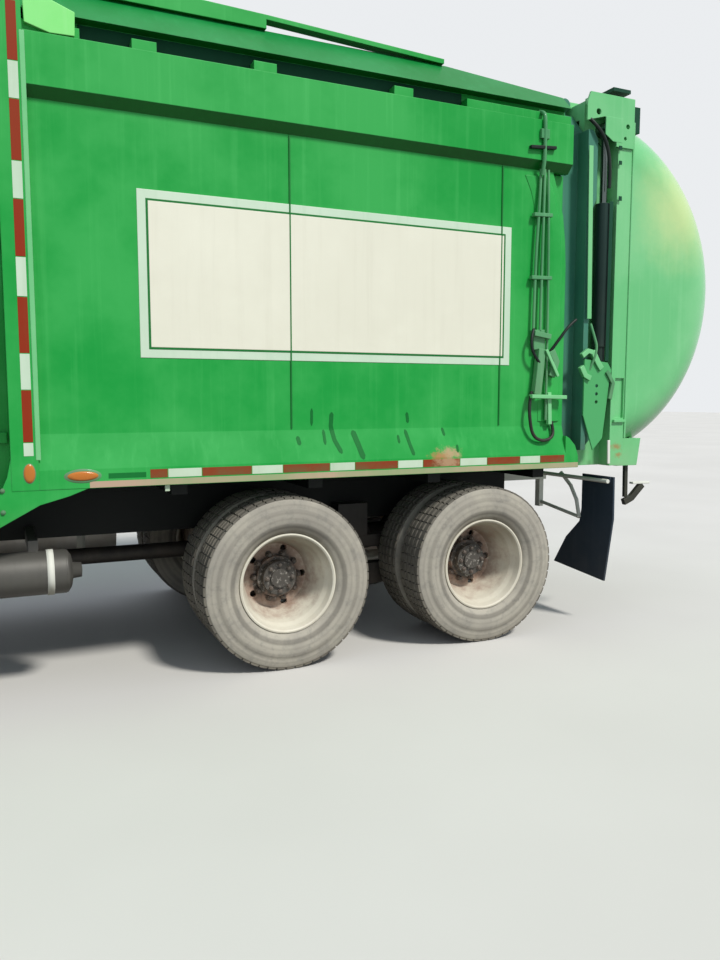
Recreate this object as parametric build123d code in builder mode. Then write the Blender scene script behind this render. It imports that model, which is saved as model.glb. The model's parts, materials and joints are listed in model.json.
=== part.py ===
"""A front-loading garbage truck on a three-axle cab-over chassis.

The truck points along +X with +Y to its left and +Z up. The origin is on the
ground, under the middle of its overall length. All sizes are in millimetres.
Stations along the truck are given forward of the middle of the rear tandem,
and station() turns them into the model's own X.
"""
import os
from math import atan2, cos, degrees, hypot, radians, sin

from build123d import *

os.makedirs("parts", exist_ok=True)

# Driving dimensions of the whole truck
TANDEM_X = -1860.0
AXLE_SPREAD = 1370.0
WHEELBASE = 5050.0
HALF_WIDTH = 1220.0
GAP = 8.0

# Tyres and wheels
TYRE_R = 520.0
DRIVE_TYRE_W = 279.0
STEER_TYRE_W = 300.0
BEAD_R = 286.0
RIM_LIP_R = 300.0
RIM_W = 210.0
OUTER_TYRE_Y = 1068.0
INNER_TYRE_Y = 734.0
STEER_TYRE_Y = 1040.0
KINGPIN_Y = 830.0
SPINDLE_R = 40.0
KINGPIN_R = 24.0
RUNNING_FIT = 0.05
HAND_HOLES = 5
HAND_HOLE_R = 21.0
HAND_HOLE_CIRCLE_R = 177.0

# Chassis
RAIL_OUT_Y = 432.0
RAIL_H = 270.0
RAIL_FLANGE = 85.0
RAIL_WALL = 12.0
RAIL_TOP_Z = 1040.0
RAIL_REAR = -1340.0
RAIL_FRONT = 6300.0

# Bolt holes for a tow hitch in the rearmost crossmember
HITCH_Y = 83.0
HITCH_RISE = 165.0
HITCH_Z = RAIL_TOP_Z - 122.0
HITCH_HOLE_R = 9.0

# Storage body
BODY_FRONT = 2040.0
BODY_REAR = -1290.0
FLOOR_Z = 1145.0
FLANGE_TOP_Z = 1245.0
SKIRT_TOP_Z = 1430.0
RAIL_LOW_Z = 3140.0
RAIL_ROOT_Z = 3090.0
RAIL_HIGH_Z = 3390.0
ROOF_Z = 3700.0
ROOF_EDGE_Z = 3500.0
ROOF_BREAK = -450.0
ROOF_REAR_Z = 3600.0
WALL = 30.0
POST_FRONT = 2170.0
POST_TOP_Z = 3780.0

# Hopper
HOPPER_FRONT = 4200.0
HOPPER_OUT_Y = 1050.0
HOPPER_WALL = 50.0
HOPPER_TOP_Z = 3700.0
HOPPER_FRONT_TOP_Z = 3590.0

# Cab
CAB_BACK = 4660.0
CAB_FACE = 6400.0
CAB_HALF_W = 910.0
CAB_WALL = 50.0
CAB_CORNER_R = 55.0
CAB_FLOOR_Z = 1130.0
CAB_SILL_Z = 1750.0
CAB_EAVES_Z = 2700.0
CAB_ROOF_Z = 2790.0
CAB_BROW = 6290.0
DOOR_REAR = 5330.0
DOOR_FRONT = 6130.0
DOOR_LOW_Z = 1185.0
DOOR_HIGH_Z = 2590.0

# Lifting arms, seen from the side in the travelling pose
ARM_PIVOT = (4420.0, 1650.0)
ARM_BEND = (4750.0, 3620.0)
FORK_PIVOT = (6093.0, 3508.0)
ARM_IN_Y = 1180.0
ARM_OUT_Y = 1250.0
TORSION_R = 85.0
FORK_TUBE_R = 65.0
FORK_Y = 860.0
FORK_LENGTH = 1150.0
FORK_TILT = 160.0
FORK_RAM_BASE = (4900.0, 3480.0)
FORK_RAM_Y = 1110.0
LIFT_BASE = (2820.0, 1070.0)
LIFT_LUG_R = 300.0
LIFT_LUG_ANGLE = -67.0
LIFT_PIN_R = 30.0

# Tailgate
GATE_HINGE = (-1420.0, 3620.0)
GATE_FRONT = -1478.0
GATE_STEP = -1680.0
GATE_TOP_Z = 3610.0
DOME_BASE = -1800.0
DOME_AXIS = (-1510.0, 2382.0)
DOME_R = 1225.0
DOME_SIDE_Y = 1205.0
RAM_BASE = (-1600.0, 1800.0)
RAM_TOP = (-1600.0, 3420.0)
RAM_Y = 1160.0
PIN_R = 22.0
HINGE_PIN_R = 25.0
HINGE_Y = 900.0


def station(s):
    """The model's X of a place given forward of the tandem's middle."""
    return s + TANDEM_X


def spot(point):
    """The same for an (s, z) pair."""
    return (station(point[0]), point[1])


def save(builder, name):
    """Labels a finished piece and writes it to its own file."""
    builder.part.label = name
    export_step(builder.part, f"parts/{name}.step")


def slab(s, y, z, mode=Mode.ADD):
    """A block between two limits along each axis."""
    middle = (station((s[0] + s[1]) / 2), (y[0] + y[1]) / 2, (z[0] + z[1]) / 2)
    with Locations(middle):
        Box(s[1] - s[0], y[1] - y[0], z[1] - z[0], mode=mode)


def side_plane(y):
    """A drawing plane that shows the truck from its side, +X right and +Z up."""
    return Plane(origin=(0, y, 0), x_dir=(1, 0, 0), z_dir=(0, -1, 0))


def side_plate(points, y, thickness, mode=Mode.ADD):
    """A plate cut to a side outline of (s, z) points, centred on the plane y."""
    with BuildSketch(side_plane(y)) as outline:
        with BuildLine():
            Polyline(*[spot(p) for p in points], close=True)
        make_face()
    extrude(outline.sketch, amount=thickness / 2, both=True, mode=mode)


def cross_bar(point, radius, y, mode=Mode.ADD):
    """A round bar across the truck at an (s, z) point, between two y limits."""
    place = Location((station(point[0]), (y[0] + y[1]) / 2, point[1]), (90, 0, 0))
    with Locations(place):
        Cylinder(radius, y[1] - y[0], mode=mode)


def long_bar(s, y, z, radius, mode=Mode.ADD):
    """A round bar along the truck, between two stations."""
    place = Location((station((s[0] + s[1]) / 2), y, z), (0, 90, 0))
    with Locations(place):
        Cylinder(radius, s[1] - s[0], mode=mode)


def link(a, b, y, radius, start=0.0, stop=None, mode=Mode.ADD):
    """A round bar in the side plane from a towards b, between two distances."""
    length = hypot(b[0] - a[0], b[1] - a[1])
    stop = length if stop is None else stop
    angle = atan2(b[1] - a[1], b[0] - a[0])
    mid = (start + stop) / 2
    centre = (station(a[0] + mid * cos(angle)), y, a[1] + mid * sin(angle))
    with Locations(Location(centre, (0, 90 - degrees(angle), 0))):
        Cylinder(radius, stop - start, mode=mode)


def polar(origin, radius, angle):
    """The (s, z) point at a distance and an angle from another one."""
    return (
        origin[0] + radius * cos(radians(angle)),
        origin[1] + radius * sin(radians(angle)),
    )


def turn(points, centre):
    """A body turned about the transverse axis through an (s, z) centre."""
    origin = (station(centre[0]), 0, centre[1])
    with BuildSketch(Plane(origin=origin, x_dir=(0, 1, 0), z_dir=(1, 0, 0))) as profile:
        with BuildLine():
            Polyline(*points, close=True)
        make_face()
    revolve(profile.sketch, axis=Axis(origin, (0, 1, 0)))


# Wheels
BEAD_HALF = 88.0
TYRE_PROFILE = (  # share of half width, radius
    (0.93, 345.0),
    (1.00, 400.0),
    (0.95, 470.0),
    (0.78, 514.0),
    (0.55, TYRE_R),
)


def tyre(s, y, width):
    """A tyre without its tread, solid because the wheel closes it."""
    half = [(BEAD_HALF, BEAD_R), (BEAD_HALF, RIM_LIP_R + 1)]
    half += [(share * width / 2, r) for share, r in TYRE_PROFILE]
    points = [(y + w, r) for w, r in half] + [(y - w, r) for w, r in reversed(half)]
    turn(points, (s, TYRE_R))


def disc_wheel(s, y, open_side, offset):
    """A pressed steel wheel, dished so that its hollow face looks to open_side."""
    profile = (  # distance towards the open side, radius
        (-105, RIM_LIP_R), (-105, 288), (-98, 280), (-66, 268), (-46, 254), (-offset - 12, 213),
        (-offset - 12, 118), (-offset, 118), (-offset, 200), (-22, 246), (22, 256), (58, 272),
        (101, 282), (107, 291), (105, RIM_LIP_R), (91, RIM_LIP_R), (91, BEAD_R - 0.5),
        (-91, BEAD_R - 0.5), (-91, RIM_LIP_R),
    )
    points = [(y + open_side * p, r) for p, r in profile]
    turn(points, (s, TYRE_R))


def hand_holes(centre, y):
    """Round hand holes through the flat of a wheel's disc."""
    for hole in range(HAND_HOLES):
        place = polar(centre, HAND_HOLE_CIRCLE_R, (hole + 0.5) * 360 / HAND_HOLES)
        cross_bar(place, HAND_HOLE_R, y, mode=Mode.SUBTRACT)


AXLES = (("front", AXLE_SPREAD / 2), ("rear", -AXLE_SPREAD / 2))
SIDES = (("left", 1), ("right", -1))
DUAL_OFFSET = (OUTER_TYRE_Y - INNER_TYRE_Y) / 2 - 12
STEER_OFFSET = 110.0
DRUM_BORE_R = 178.0
DRIVE_HUB = (  # radius, inner and outer y: hub, brake drum, flange, cap
    (128.0, 590.0, 950.0),
    (205.0, 600.0, 800.0),
    (104.0, 945.0, 1002.0),
    (58.0, 1000.0, 1016.0),
)
STEER_HUB = (  # radius, inner and outer y: hub, brake drum, cap
    (126.0, 985.0, 1172.0),
    (200.0, 930.0, 1060.0),
    (78.0, 1170.0, 1205.0),
)


def across(side, inner, outer):
    """The y limits of something on one side, in rising order."""
    return tuple(sorted((side * inner, side * outer)))


for side_name, side in SIDES:
    for axle, axle_s in AXLES:
        centre = (axle_s, TYRE_R)
        with BuildPart() as dual_tyres:
            for tyre_y in (OUTER_TYRE_Y, INNER_TYRE_Y):
                tyre(axle_s, side * tyre_y, DRIVE_TYRE_W)
        save(dual_tyres, f"drive_tyres_{axle}_{side_name}")

        with BuildPart() as dual_wheels:
            disc_wheel(axle_s, side * OUTER_TYRE_Y, side, DUAL_OFFSET)
            disc_wheel(axle_s, side * INNER_TYRE_Y, -side, DUAL_OFFSET)
            for radius, inner, outer in DRIVE_HUB:
                cross_bar(centre, radius, across(side, inner, outer))
            cross_bar(centre, SPINDLE_R + RUNNING_FIT, across(side, 560, 985), mode=Mode.SUBTRACT)
            cross_bar(centre, DRUM_BORE_R, across(side, 590, 700), mode=Mode.SUBTRACT)
            hand_holes(centre, across(side, 880, 950))
        save(dual_wheels, f"drive_wheels_{axle}_{side_name}")

    centre = (WHEELBASE, TYRE_R)
    with BuildPart() as steer_tyre:
        tyre(WHEELBASE, side * STEER_TYRE_Y, STEER_TYRE_W)
    save(steer_tyre, f"steer_tyre_{side_name}")

    with BuildPart() as steer_wheel:
        disc_wheel(WHEELBASE, side * STEER_TYRE_Y, -side, STEER_OFFSET)
        for radius, inner, outer in STEER_HUB:
            cross_bar(centre, radius, across(side, inner, outer))
        cross_bar(centre, SPINDLE_R + RUNNING_FIT, across(side, 900, 1135), mode=Mode.SUBTRACT)
        cross_bar(centre, DRUM_BORE_R, across(side, 925, 1010), mode=Mode.SUBTRACT)
        hand_holes(centre, across(side, 1120, 1190))
    save(steer_wheel, f"steer_wheel_{side_name}")

    with BuildPart() as knuckle:
        cross_bar(centre, SPINDLE_R, across(side, KINGPIN_Y + 60, 1125))
        upright_y = across(side, KINGPIN_Y + 50, KINGPIN_Y + 90)
        slab((WHEELBASE - 60, WHEELBASE + 60), upright_y, (TYRE_R - 150, TYRE_R + 110))
        for z in (TYRE_R - 150, TYRE_R + 65):
            slab((WHEELBASE - 34, WHEELBASE + 34), across(side, KINGPIN_Y - 32, KINGPIN_Y + 60), (z, z + 45))
        with Locations((station(WHEELBASE), side * KINGPIN_Y, TYRE_R - 20)):
            Cylinder(KINGPIN_R, 240)
    save(knuckle, f"knuckle_{side_name}")

# Front axle beam, with an eye round each kingpin
with BuildPart() as front_axle:
    slab((WHEELBASE - 45, WHEELBASE + 45), (-640, 640), (TYRE_R - 190, TYRE_R - 80))
    for side in (1, -1):
        with BuildSketch(Plane(origin=(station(WHEELBASE) - 45, 0, 0), x_dir=(0, 1, 0), z_dir=(1, 0, 0))):
            with BuildLine():
                Polyline(
                    (side * 600, TYRE_R - 190),
                    (side * (KINGPIN_Y - 30), TYRE_R - 70),
                    (side * (KINGPIN_Y - 30), TYRE_R + 45),
                    (side * 600, TYRE_R - 80),
                    close=True,
                )
            make_face()
        extrude(amount=90)
        with Locations((station(WHEELBASE), side * KINGPIN_Y, TYRE_R - 20)):
            Cylinder(42, 140)
        with Locations((station(WHEELBASE), side * KINGPIN_Y, TYRE_R - 20)):
            Cylinder(KINGPIN_R + RUNNING_FIT, 300, mode=Mode.SUBTRACT)
save(front_axle, "front_axle")

# Drive axles: banjo housing, arms, and the shafts that join them
with BuildPart() as drive_axles:
    for axle, axle_s in AXLES:
        cross_bar((axle_s, TYRE_R), 62.0, (-560, 560))
        cross_bar((axle_s, TYRE_R), SPINDLE_R, (-975, 975))
        cross_bar((axle_s, TYRE_R), 205.0, (-95, 95))
        long_bar((axle_s + 60, axle_s + 330), 0, TYRE_R + 40, 95.0)
    long_bar((-AXLE_SPREAD / 2 + 330, AXLE_SPREAD / 2 - 150), 0, TYRE_R + 40, 45.0)
    long_bar((AXLE_SPREAD / 2 + 330, 3900), 0, TYRE_R + 40, 55.0)
save(drive_axles, "drive_axles")

# Springs: front leaf packs, and rear packs over the walking beams
FRONT_LEAVES = (640.0, 560.0, 430.0, 300.0)
FRONT_LEAF_T = 18.0
FRONT_SPRING_Y = 430.0
REAR_LEAVES = (720.0, 560.0, 430.0, 300.0)
REAR_LEAF_T = 20.0
REAR_SPRING_Y = 500.0
with BuildPart() as springs:
    for side in (1, -1):
        front_y = (side * FRONT_SPRING_Y - 40, side * FRONT_SPRING_Y + 40)
        rear_y = (side * REAR_SPRING_Y - 50, side * REAR_SPRING_Y + 50)
        for row, half_length in enumerate(FRONT_LEAVES):
            low = TYRE_R - 78 + FRONT_LEAF_T * row
            slab((WHEELBASE - half_length, WHEELBASE + half_length), front_y, (low, low + FRONT_LEAF_T))
        for end in (-600, 600):
            shackle_s = WHEELBASE + end
            slab((shackle_s - 30, shackle_s + 30), front_y, (TYRE_R - 60, RAIL_TOP_Z - RAIL_H))
        for row, half_length in enumerate(REAR_LEAVES):
            low = TYRE_R + 62 + REAR_LEAF_T * row
            slab((-half_length, half_length), rear_y, (low, low + REAR_LEAF_T))
        slab((-110, 110), across(side, RAIL_OUT_Y, 562), (TYRE_R + 142, RAIL_TOP_Z - 150))
        side_plate(
            [(-760, TYRE_R - 62), (760, TYRE_R - 62), (760, TYRE_R - 130), (180, TYRE_R - 210),
             (-180, TYRE_R - 210), (-760, TYRE_R - 130)],
            side * REAR_SPRING_Y, 90,
        )
        slab((-70, 70), (side * REAR_SPRING_Y - 45, side * REAR_SPRING_Y + 45), (TYRE_R - 66, TYRE_R + 64))
save(springs, "springs")

# Chassis frame: two channels and their crossmembers
with BuildPart() as frame_rails:
    for side in (1, -1):
        outer, web, toe = side * RAIL_OUT_Y, side * (RAIL_OUT_Y - RAIL_WALL), side * (RAIL_OUT_Y - RAIL_FLANGE)
        low = RAIL_TOP_Z - RAIL_H
        with BuildSketch(Plane.YZ.offset(station(RAIL_REAR))):
            with BuildLine():
                Polyline(
                    (outer, low), (outer, RAIL_TOP_Z), (toe, RAIL_TOP_Z),
                    (toe, RAIL_TOP_Z - RAIL_WALL), (web, RAIL_TOP_Z - RAIL_WALL),
                    (web, low + RAIL_WALL), (toe, low + RAIL_WALL), (toe, low),
                    close=True,
                )
            make_face()
        extrude(amount=RAIL_FRONT - RAIL_REAR)
    for s in (RAIL_REAR + 60, -40, 1500, 2900, 3700, RAIL_FRONT - 60):
        slab((s - 50, s + 50), (-RAIL_OUT_Y + 6, RAIL_OUT_Y - 6), (RAIL_TOP_Z - 225, RAIL_TOP_Z - 20))
    for y in (-HITCH_Y / 2, HITCH_Y / 2):
        for z in (HITCH_Z - HITCH_RISE / 2, HITCH_Z + HITCH_RISE / 2):
            long_bar((RAIL_REAR, RAIL_REAR + 120), y, z, HITCH_HOLE_R, mode=Mode.SUBTRACT)
save(frame_rails, "frame_rails")

# Engine and gearbox as one heavy block
with BuildPart() as engine:
    slab((4620, 5900), (-330, 330), (TYRE_R + 110, 1095))
    slab((3900, 4620), (-210, 210), (TYRE_R - 60, 800))
save(engine, "engine")

# Storage body: one ring section from the hopper's mouth to the tailgate
WALL_Y = 1170.0
INNER_Y = 1140.0
NECK_Y = 1120.0
FLAT_Y = 1000.0


def ring(outer, inner, s):
    """A hollow section through the truck: half outlines of (y, z), between two stations."""
    with BuildSketch(Plane.YZ.offset(station(s[0]))) as section:
        for half, mode in ((outer, Mode.ADD), (inner, Mode.SUBTRACT)):
            with BuildLine():
                Polyline(*half, *[(-y, z) for y, z in reversed(half)], close=True)
            make_face(mode=mode)
    extrude(section.sketch, amount=s[1] - s[0])


BODY_OUTER = (
    (HALF_WIDTH - 40, FLOOR_Z), (HALF_WIDTH, FLOOR_Z), (HALF_WIDTH, FLANGE_TOP_Z),
    (WALL_Y, SKIRT_TOP_Z), (WALL_Y, RAIL_ROOT_Z), (HALF_WIDTH, RAIL_LOW_Z),
    (HALF_WIDTH, RAIL_HIGH_Z), (NECK_Y, RAIL_HIGH_Z), (NECK_Y, ROOF_EDGE_Z),
    (HALF_WIDTH - 25, ROOF_EDGE_Z), (FLAT_Y, ROOF_Z),
)
BODY_INNER = (
    (INNER_Y - 10, FLOOR_Z + WALL), (INNER_Y, SKIRT_TOP_Z), (INNER_Y, RAIL_HIGH_Z - 40),
    (NECK_Y - WALL, RAIL_HIGH_Z), (NECK_Y - WALL, 3560), (FLAT_Y - 15, ROOF_Z - WALL),
)
TAB_TOP_Z = 3450.0
SLOT_TABS = ((2040, 1770), (1516, 1390), (866, 735), (8, -118), (-493, BODY_REAR))
RECESS_Y = 1120.0
REAR_CURVE = (
    (-1170, RAIL_ROOT_Z), (-1222, 2947), (-1259, 2822), (-1280, 2663), (BODY_REAR - 1, 2480),
    (BODY_REAR - 1, RAIL_ROOT_Z),
)
FLANGE_FOOT = (
    (BODY_REAR + 2, FLOOR_Z), (-1398, FLOOR_Z), (-1395, 1227), (-1367, 1297), (-1320, 1345),
    (BODY_REAR + 2, 1362),
)
with BuildPart() as body_shell:
    ring(BODY_OUTER, BODY_INNER, (ROOF_BREAK, BODY_FRONT))
    low_ceiling = BODY_INNER[:-1] + ((FLAT_Y - 15, ROOF_REAR_Z - WALL),)
    ring(BODY_OUTER, low_ceiling, (BODY_REAR, ROOF_BREAK))
    roof_wedge = [
        (ROOF_BREAK, ROOF_Z), (BODY_REAR, ROOF_REAR_Z), (BODY_REAR, ROOF_Z + 10), (ROOF_BREAK, ROOF_Z + 10),
    ]
    side_plate(roof_wedge, 0, 2 * HALF_WIDTH, mode=Mode.SUBTRACT)
    for side in (1, -1):
        for front, rear in SLOT_TABS:
            slab((rear, front), across(side, NECK_Y - 5, HALF_WIDTH - 30), (RAIL_HIGH_Z - 5, TAB_TOP_Z))
        slab((BODY_REAR, -1160), across(side, RECESS_Y - 20, INNER_Y + 1), (2440, RAIL_ROOT_Z))
        side_plate(REAR_CURVE, side * (RECESS_Y + 60), 120, mode=Mode.SUBTRACT)
        side_plate(FLANGE_FOOT, side * (HALF_WIDTH - 20), 40)
save(body_shell, "body_shell")

# Narrower frame at the rear, which the tailgate hangs from and closes on
FLANGE_FRONT = -1430.0
FLANGE_OUT_Y = 1200.0
BRACKET_PLATES = ((1100.0, 1107.0), (1211.0, 1220.0))
BRACKET_OUTLINE = (
    (FLANGE_FRONT, 1880), (RAM_BASE[0] - 30, 1860), (RAM_BASE[0] - 65, 1810), (RAM_BASE[0] - 50, 1740),
    (RAM_BASE[0], 1340), (-1520, 1260), (FLANGE_FRONT, 1500),
)
BRACKET_HOLE_S = -1540.0
BRACKET_HOLES_Z = (1700.0, 1645.0, 1590.0)
BRACKET_HOLE_R = 12.0
with BuildPart() as rear_frame:
    ring(
        ((1095, FLOOR_Z), (1095, 3400), (980, 3540)),
        ((1030, FLOOR_Z + WALL), (1030, 3380), (950, 3480)),
        (GATE_FRONT + GAP, BODY_REAR),
    )
    for side in (1, -1):
        slab((GATE_FRONT + GAP, FLANGE_FRONT), across(side, 1090, FLANGE_OUT_Y), (1260, 3390))
        side_plate(
            [(GATE_FRONT + GAP, 3390), (-1510, 3330), (-1510, 2950), (GATE_FRONT + GAP, 2860)],
            side * (FLANGE_OUT_Y - 6), 12,
        )
        cross_bar(GATE_HINGE, HINGE_PIN_R, across(side, HINGE_Y - 60, HINGE_Y + 60))
        for inner, outer in ((HINGE_Y - 60, HINGE_Y - 35), (HINGE_Y + 35, HINGE_Y + 60)):
            cross_bar(GATE_HINGE, 42.0, across(side, inner, outer))
            slab((GATE_HINGE[0], BODY_REAR), across(side, inner, outer), (3500, 3655))
        for inner, outer in BRACKET_PLATES:
            side_plate(BRACKET_OUTLINE, side * (inner + outer) / 2, outer - inner)
        for z in BRACKET_HOLES_Z:
            cross_bar((BRACKET_HOLE_S, z), BRACKET_HOLE_R, across(side, 1205, 1222), mode=Mode.SUBTRACT)
        cross_bar(RAM_BASE, PIN_R, across(side, 1102, 1218))
        slab((GATE_FRONT + GAP, FLANGE_FRONT), across(side, FLANGE_OUT_Y - 4, 1220), (1500, 1870))
save(rear_frame, "rear_frame")

# Front posts, and the plates that run from their feet to the lift cylinders
POST_PLATE_Y = 1208.0
POST_PLATE = (
    (1800, FLOOR_Z), (1899, 1107), (2041, 1068), (2233, 963), (2420, 885), (2740, 865), (2740, 1010),
    (2420, 1030), (2300, 1062), (2226, 1134), (2190, 1215), (POST_FRONT, 1313), (POST_FRONT, FLOOR_Z),
)
with BuildPart() as front_posts:
    for side in (1, -1):
        slab((BODY_FRONT, POST_FRONT), across(side, HOPPER_OUT_Y - HOPPER_WALL, HALF_WIDTH), (FLOOR_Z, ROOF_Z))
        slab((BODY_FRONT, POST_FRONT), across(side, HOPPER_OUT_Y, HALF_WIDTH), (ROOF_Z, POST_TOP_Z))
        side_plate(POST_PLATE, side * POST_PLATE_Y, 20)
save(front_posts, "front_posts")

# Hopper, open at the top and into the body
with BuildPart() as hopper:
    for side in (1, -1):
        side_plate(
            [(POST_FRONT, FLOOR_Z), (HOPPER_FRONT, FLOOR_Z), (HOPPER_FRONT, HOPPER_FRONT_TOP_Z),
             (HOPPER_FRONT - 150, HOPPER_TOP_Z), (POST_FRONT, HOPPER_TOP_Z)],
            side * (HOPPER_OUT_Y - HOPPER_WALL / 2), HOPPER_WALL,
        )
    inner = HOPPER_OUT_Y - HOPPER_WALL
    slab((BODY_FRONT, HOPPER_FRONT), (-inner, inner), (FLOOR_Z, FLOOR_Z + WALL))
    slab((HOPPER_FRONT - HOPPER_WALL, HOPPER_FRONT), (-inner, inner), (FLOOR_Z, HOPPER_FRONT_TOP_Z))
save(hopper, "hopper")

# Rails for the sliding top door, standing off the roof at their rear
DOOR_RAIL_Y = (960.0, 1030.0)
DOOR_RAIL_FRONT = HOPPER_FRONT - 150
DOOR_RAIL_REAR = -420.0
DOOR_RAIL_TOP_Z = 3786.0
DOOR_RAIL = (
    (DOOR_RAIL_FRONT, ROOF_Z), (DOOR_RAIL_FRONT, DOOR_RAIL_TOP_Z), (1155, DOOR_RAIL_TOP_Z), (740, 3775),
    (DOOR_RAIL_REAR, 3727), (DOOR_RAIL_REAR, ROOF_Z), (DOOR_RAIL_REAR + 40, ROOF_Z), (740, 3750), (740, ROOF_Z),
)
with BuildPart() as door_rails:
    for side in (1, -1):
        side_plate(DOOR_RAIL, side * sum(DOOR_RAIL_Y) / 2, DOOR_RAIL_Y[1] - DOOR_RAIL_Y[0])
save(door_rails, "door_rails")

# Top door, half open in the photograph's pose
TOP_DOOR = (760.0, 2760.0)
TOP_DOOR_RIBS = 4
with BuildPart() as top_door:
    edge_y = DOOR_RAIL_Y[0] - GAP
    slab(TOP_DOOR, (-edge_y, edge_y), (ROOF_Z + GAP, ROOF_Z + 44))
    for rib in range(TOP_DOOR_RIBS):
        s = TOP_DOOR[0] + 10 + rib * (TOP_DOOR[1] - TOP_DOOR[0] - 60) / (TOP_DOOR_RIBS - 1)
        slab((s, s + 40), (-edge_y, edge_y), (ROOF_Z + 44, ROOF_Z + 74))
save(top_door, "top_door")

# Packer panel, at the front of its stroke
PACKER_W = 1980.0
PACKER = ((3600, 1185), (4100, 1185), (4100, 2350), (3980, 2350), (3820, 1750), (3600, 1560))
with BuildPart() as packer_panel:
    side_plate(PACKER, 0, PACKER_W)
save(packer_panel, "packer_panel")

# Body subframe, between the chassis and the floor
OUTRIGGERS = (-1200, -380, 440, 1260, 1990, 2600, 3300, 4080)
with BuildPart() as subframe:
    for side in (1, -1):
        slab((RAIL_REAR, 4590), across(side, 340, RAIL_OUT_Y), (RAIL_TOP_Z, FLOOR_Z))
    for s in OUTRIGGERS:
        reach = 1100 if s < POST_FRONT else 1000
        slab((s, s + 90), (-reach, reach), (FLOOR_Z - 70, FLOOR_Z))
    for side in (1, -1):
        slab((2740, 2900), across(side, RAIL_OUT_Y, 1060), (900, 990))
        for ear_y in (1048, 1197):
            side_plate([(2740, 900), (2900, 900), (2880, 1120), (2760, 1120)], side * ear_y, 24)
        slab((2740, 2900), across(side, 1048, 1209), (900, 980))
        cross_bar(LIFT_BASE, LIFT_PIN_R, across(side, 1048, 1200))
save(subframe, "subframe")

# Towers that carry the lifting arms, on a sill across the chassis
with BuildPart() as arm_towers:
    slab((4250, 4590), (-960, 960), (FLOOR_Z, FLOOR_Z + 45))
    for side in (1, -1):
        side_plate(
            [(4230, FLOOR_Z), (4610, FLOOR_Z), (4560, 1650), (4500, 1770), (4340, 1770), (4280, 1650)],
            side * 930, 60,
        )
        cross_bar(ARM_PIVOT, TORSION_R + RUNNING_FIT, across(side, 890, 970), mode=Mode.SUBTRACT)
save(arm_towers, "arm_towers")

# Tailgate frame and dome
GUSSET_HOLES = ((-1493, 3505, 20), (-1745, 3440, 16), (-1725, 3360, 12))
LUG_FOOT = ((RAM_TOP[0] - 20, 3330), (-1555, 3370))
GATE_LUGS = (  # outline, middle y, thickness: inner and outer plates round the ram's eye
    (((-1560, 3500), (GATE_STEP, 3500), (GATE_STEP, 3330), *LUG_FOOT), 1101.0, 14.0),
    (((-1555, 3485), (GATE_STEP - 20, 3485), (GATE_STEP - 20, 3330), *LUG_FOOT), 1216.0, 8.0),
)
GUSSET = (
    (-1400, 3440), (-1400, 3560), (-1425, 3625), (DOME_BASE, 3625), (DOME_BASE, 3300), (-1650, 3300),
    (-1650, 3480), (-1540, 3480),
)
with BuildPart() as gate_frame:
    ring(
        ((1095, FLOOR_Z), (1095, GATE_TOP_Z)),
        ((1040, FLOOR_Z + 40), (1040, 3500)),
        (GATE_STEP, GATE_FRONT),
    )
    ring(
        ((DOME_SIDE_Y, FLOOR_Z), (DOME_SIDE_Y, GATE_TOP_Z)),
        ((1040, FLOOR_Z + 40), (1040, 3500)),
        (DOME_BASE, GATE_STEP),
    )
    for side in (1, -1):
        side_plate(GUSSET, side * 1212, 14)
        for s, z, radius in GUSSET_HOLES:
            cross_bar((s, z), radius, across(side, 1190, 1222), mode=Mode.SUBTRACT)
        slab((DOME_BASE + 20, GATE_FRONT - 5), across(side, 1090, 1215), (3585, 3625))
        for lug, lug_y, lug_t in GATE_LUGS:
            side_plate(lug, side * lug_y, lug_t)
        slab((-1600, GATE_HINGE[0]), across(side, HINGE_Y - 30, HINGE_Y + 30), (GATE_TOP_Z, 3655))
        cross_bar(GATE_HINGE, 40.0, across(side, HINGE_Y - 30, HINGE_Y + 30))
        cross_bar(GATE_HINGE, HINGE_PIN_R + RUNNING_FIT, across(side, 860, 940), mode=Mode.SUBTRACT)
        recess_y = across(side, DOME_SIDE_Y - 15, DOME_SIDE_Y + 5)
        slab((DOME_BASE + 8, DOME_BASE + 85), recess_y, (1480, 1755), mode=Mode.SUBTRACT)
save(gate_frame, "tailgate_frame")

DOME_CORNER = 330.0
DOME_WALL = 40.0
SUMP_REAR = -1985.0
SUMP_Y = 1150.0
SUMP_OUTER = ((DOME_BASE, 1135), (SUMP_REAR, 1135), (SUMP_REAR - 30, 1330), (DOME_BASE, 1330))
SUMP_INNER = ((DOME_BASE, 1175), (SUMP_REAR + 35, 1175), (SUMP_REAR + 20, 1500), (DOME_BASE, 1500))


def dome_solid(shrink, mode=Mode.ADD):
    """A half barrel with dished ends, turned about an axis across the truck."""
    radius, side_y, corner = DOME_R - shrink, DOME_SIDE_Y - shrink, DOME_CORNER - shrink
    origin = (station(DOME_AXIS[0]), 0, DOME_AXIS[1])
    with BuildSketch(Plane(origin=origin, x_dir=(0, 1, 0), z_dir=(1, 0, 0))) as half:
        with BuildLine():
            Line((-(side_y - corner), radius), (side_y - corner, radius))
            RadiusArc((side_y - corner, radius), (side_y, radius - corner), corner)
            Line((side_y, radius - corner), (side_y, 0))
            Line((side_y, 0), (-side_y, 0))
            Line((-side_y, 0), (-side_y, radius - corner))
            RadiusArc((-side_y, radius - corner), (-(side_y - corner), radius), corner)
        make_face()
    revolve(half.sketch, axis=Axis(origin, (0, 1, 0)), revolution_arc=-180, mode=mode)


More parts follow.
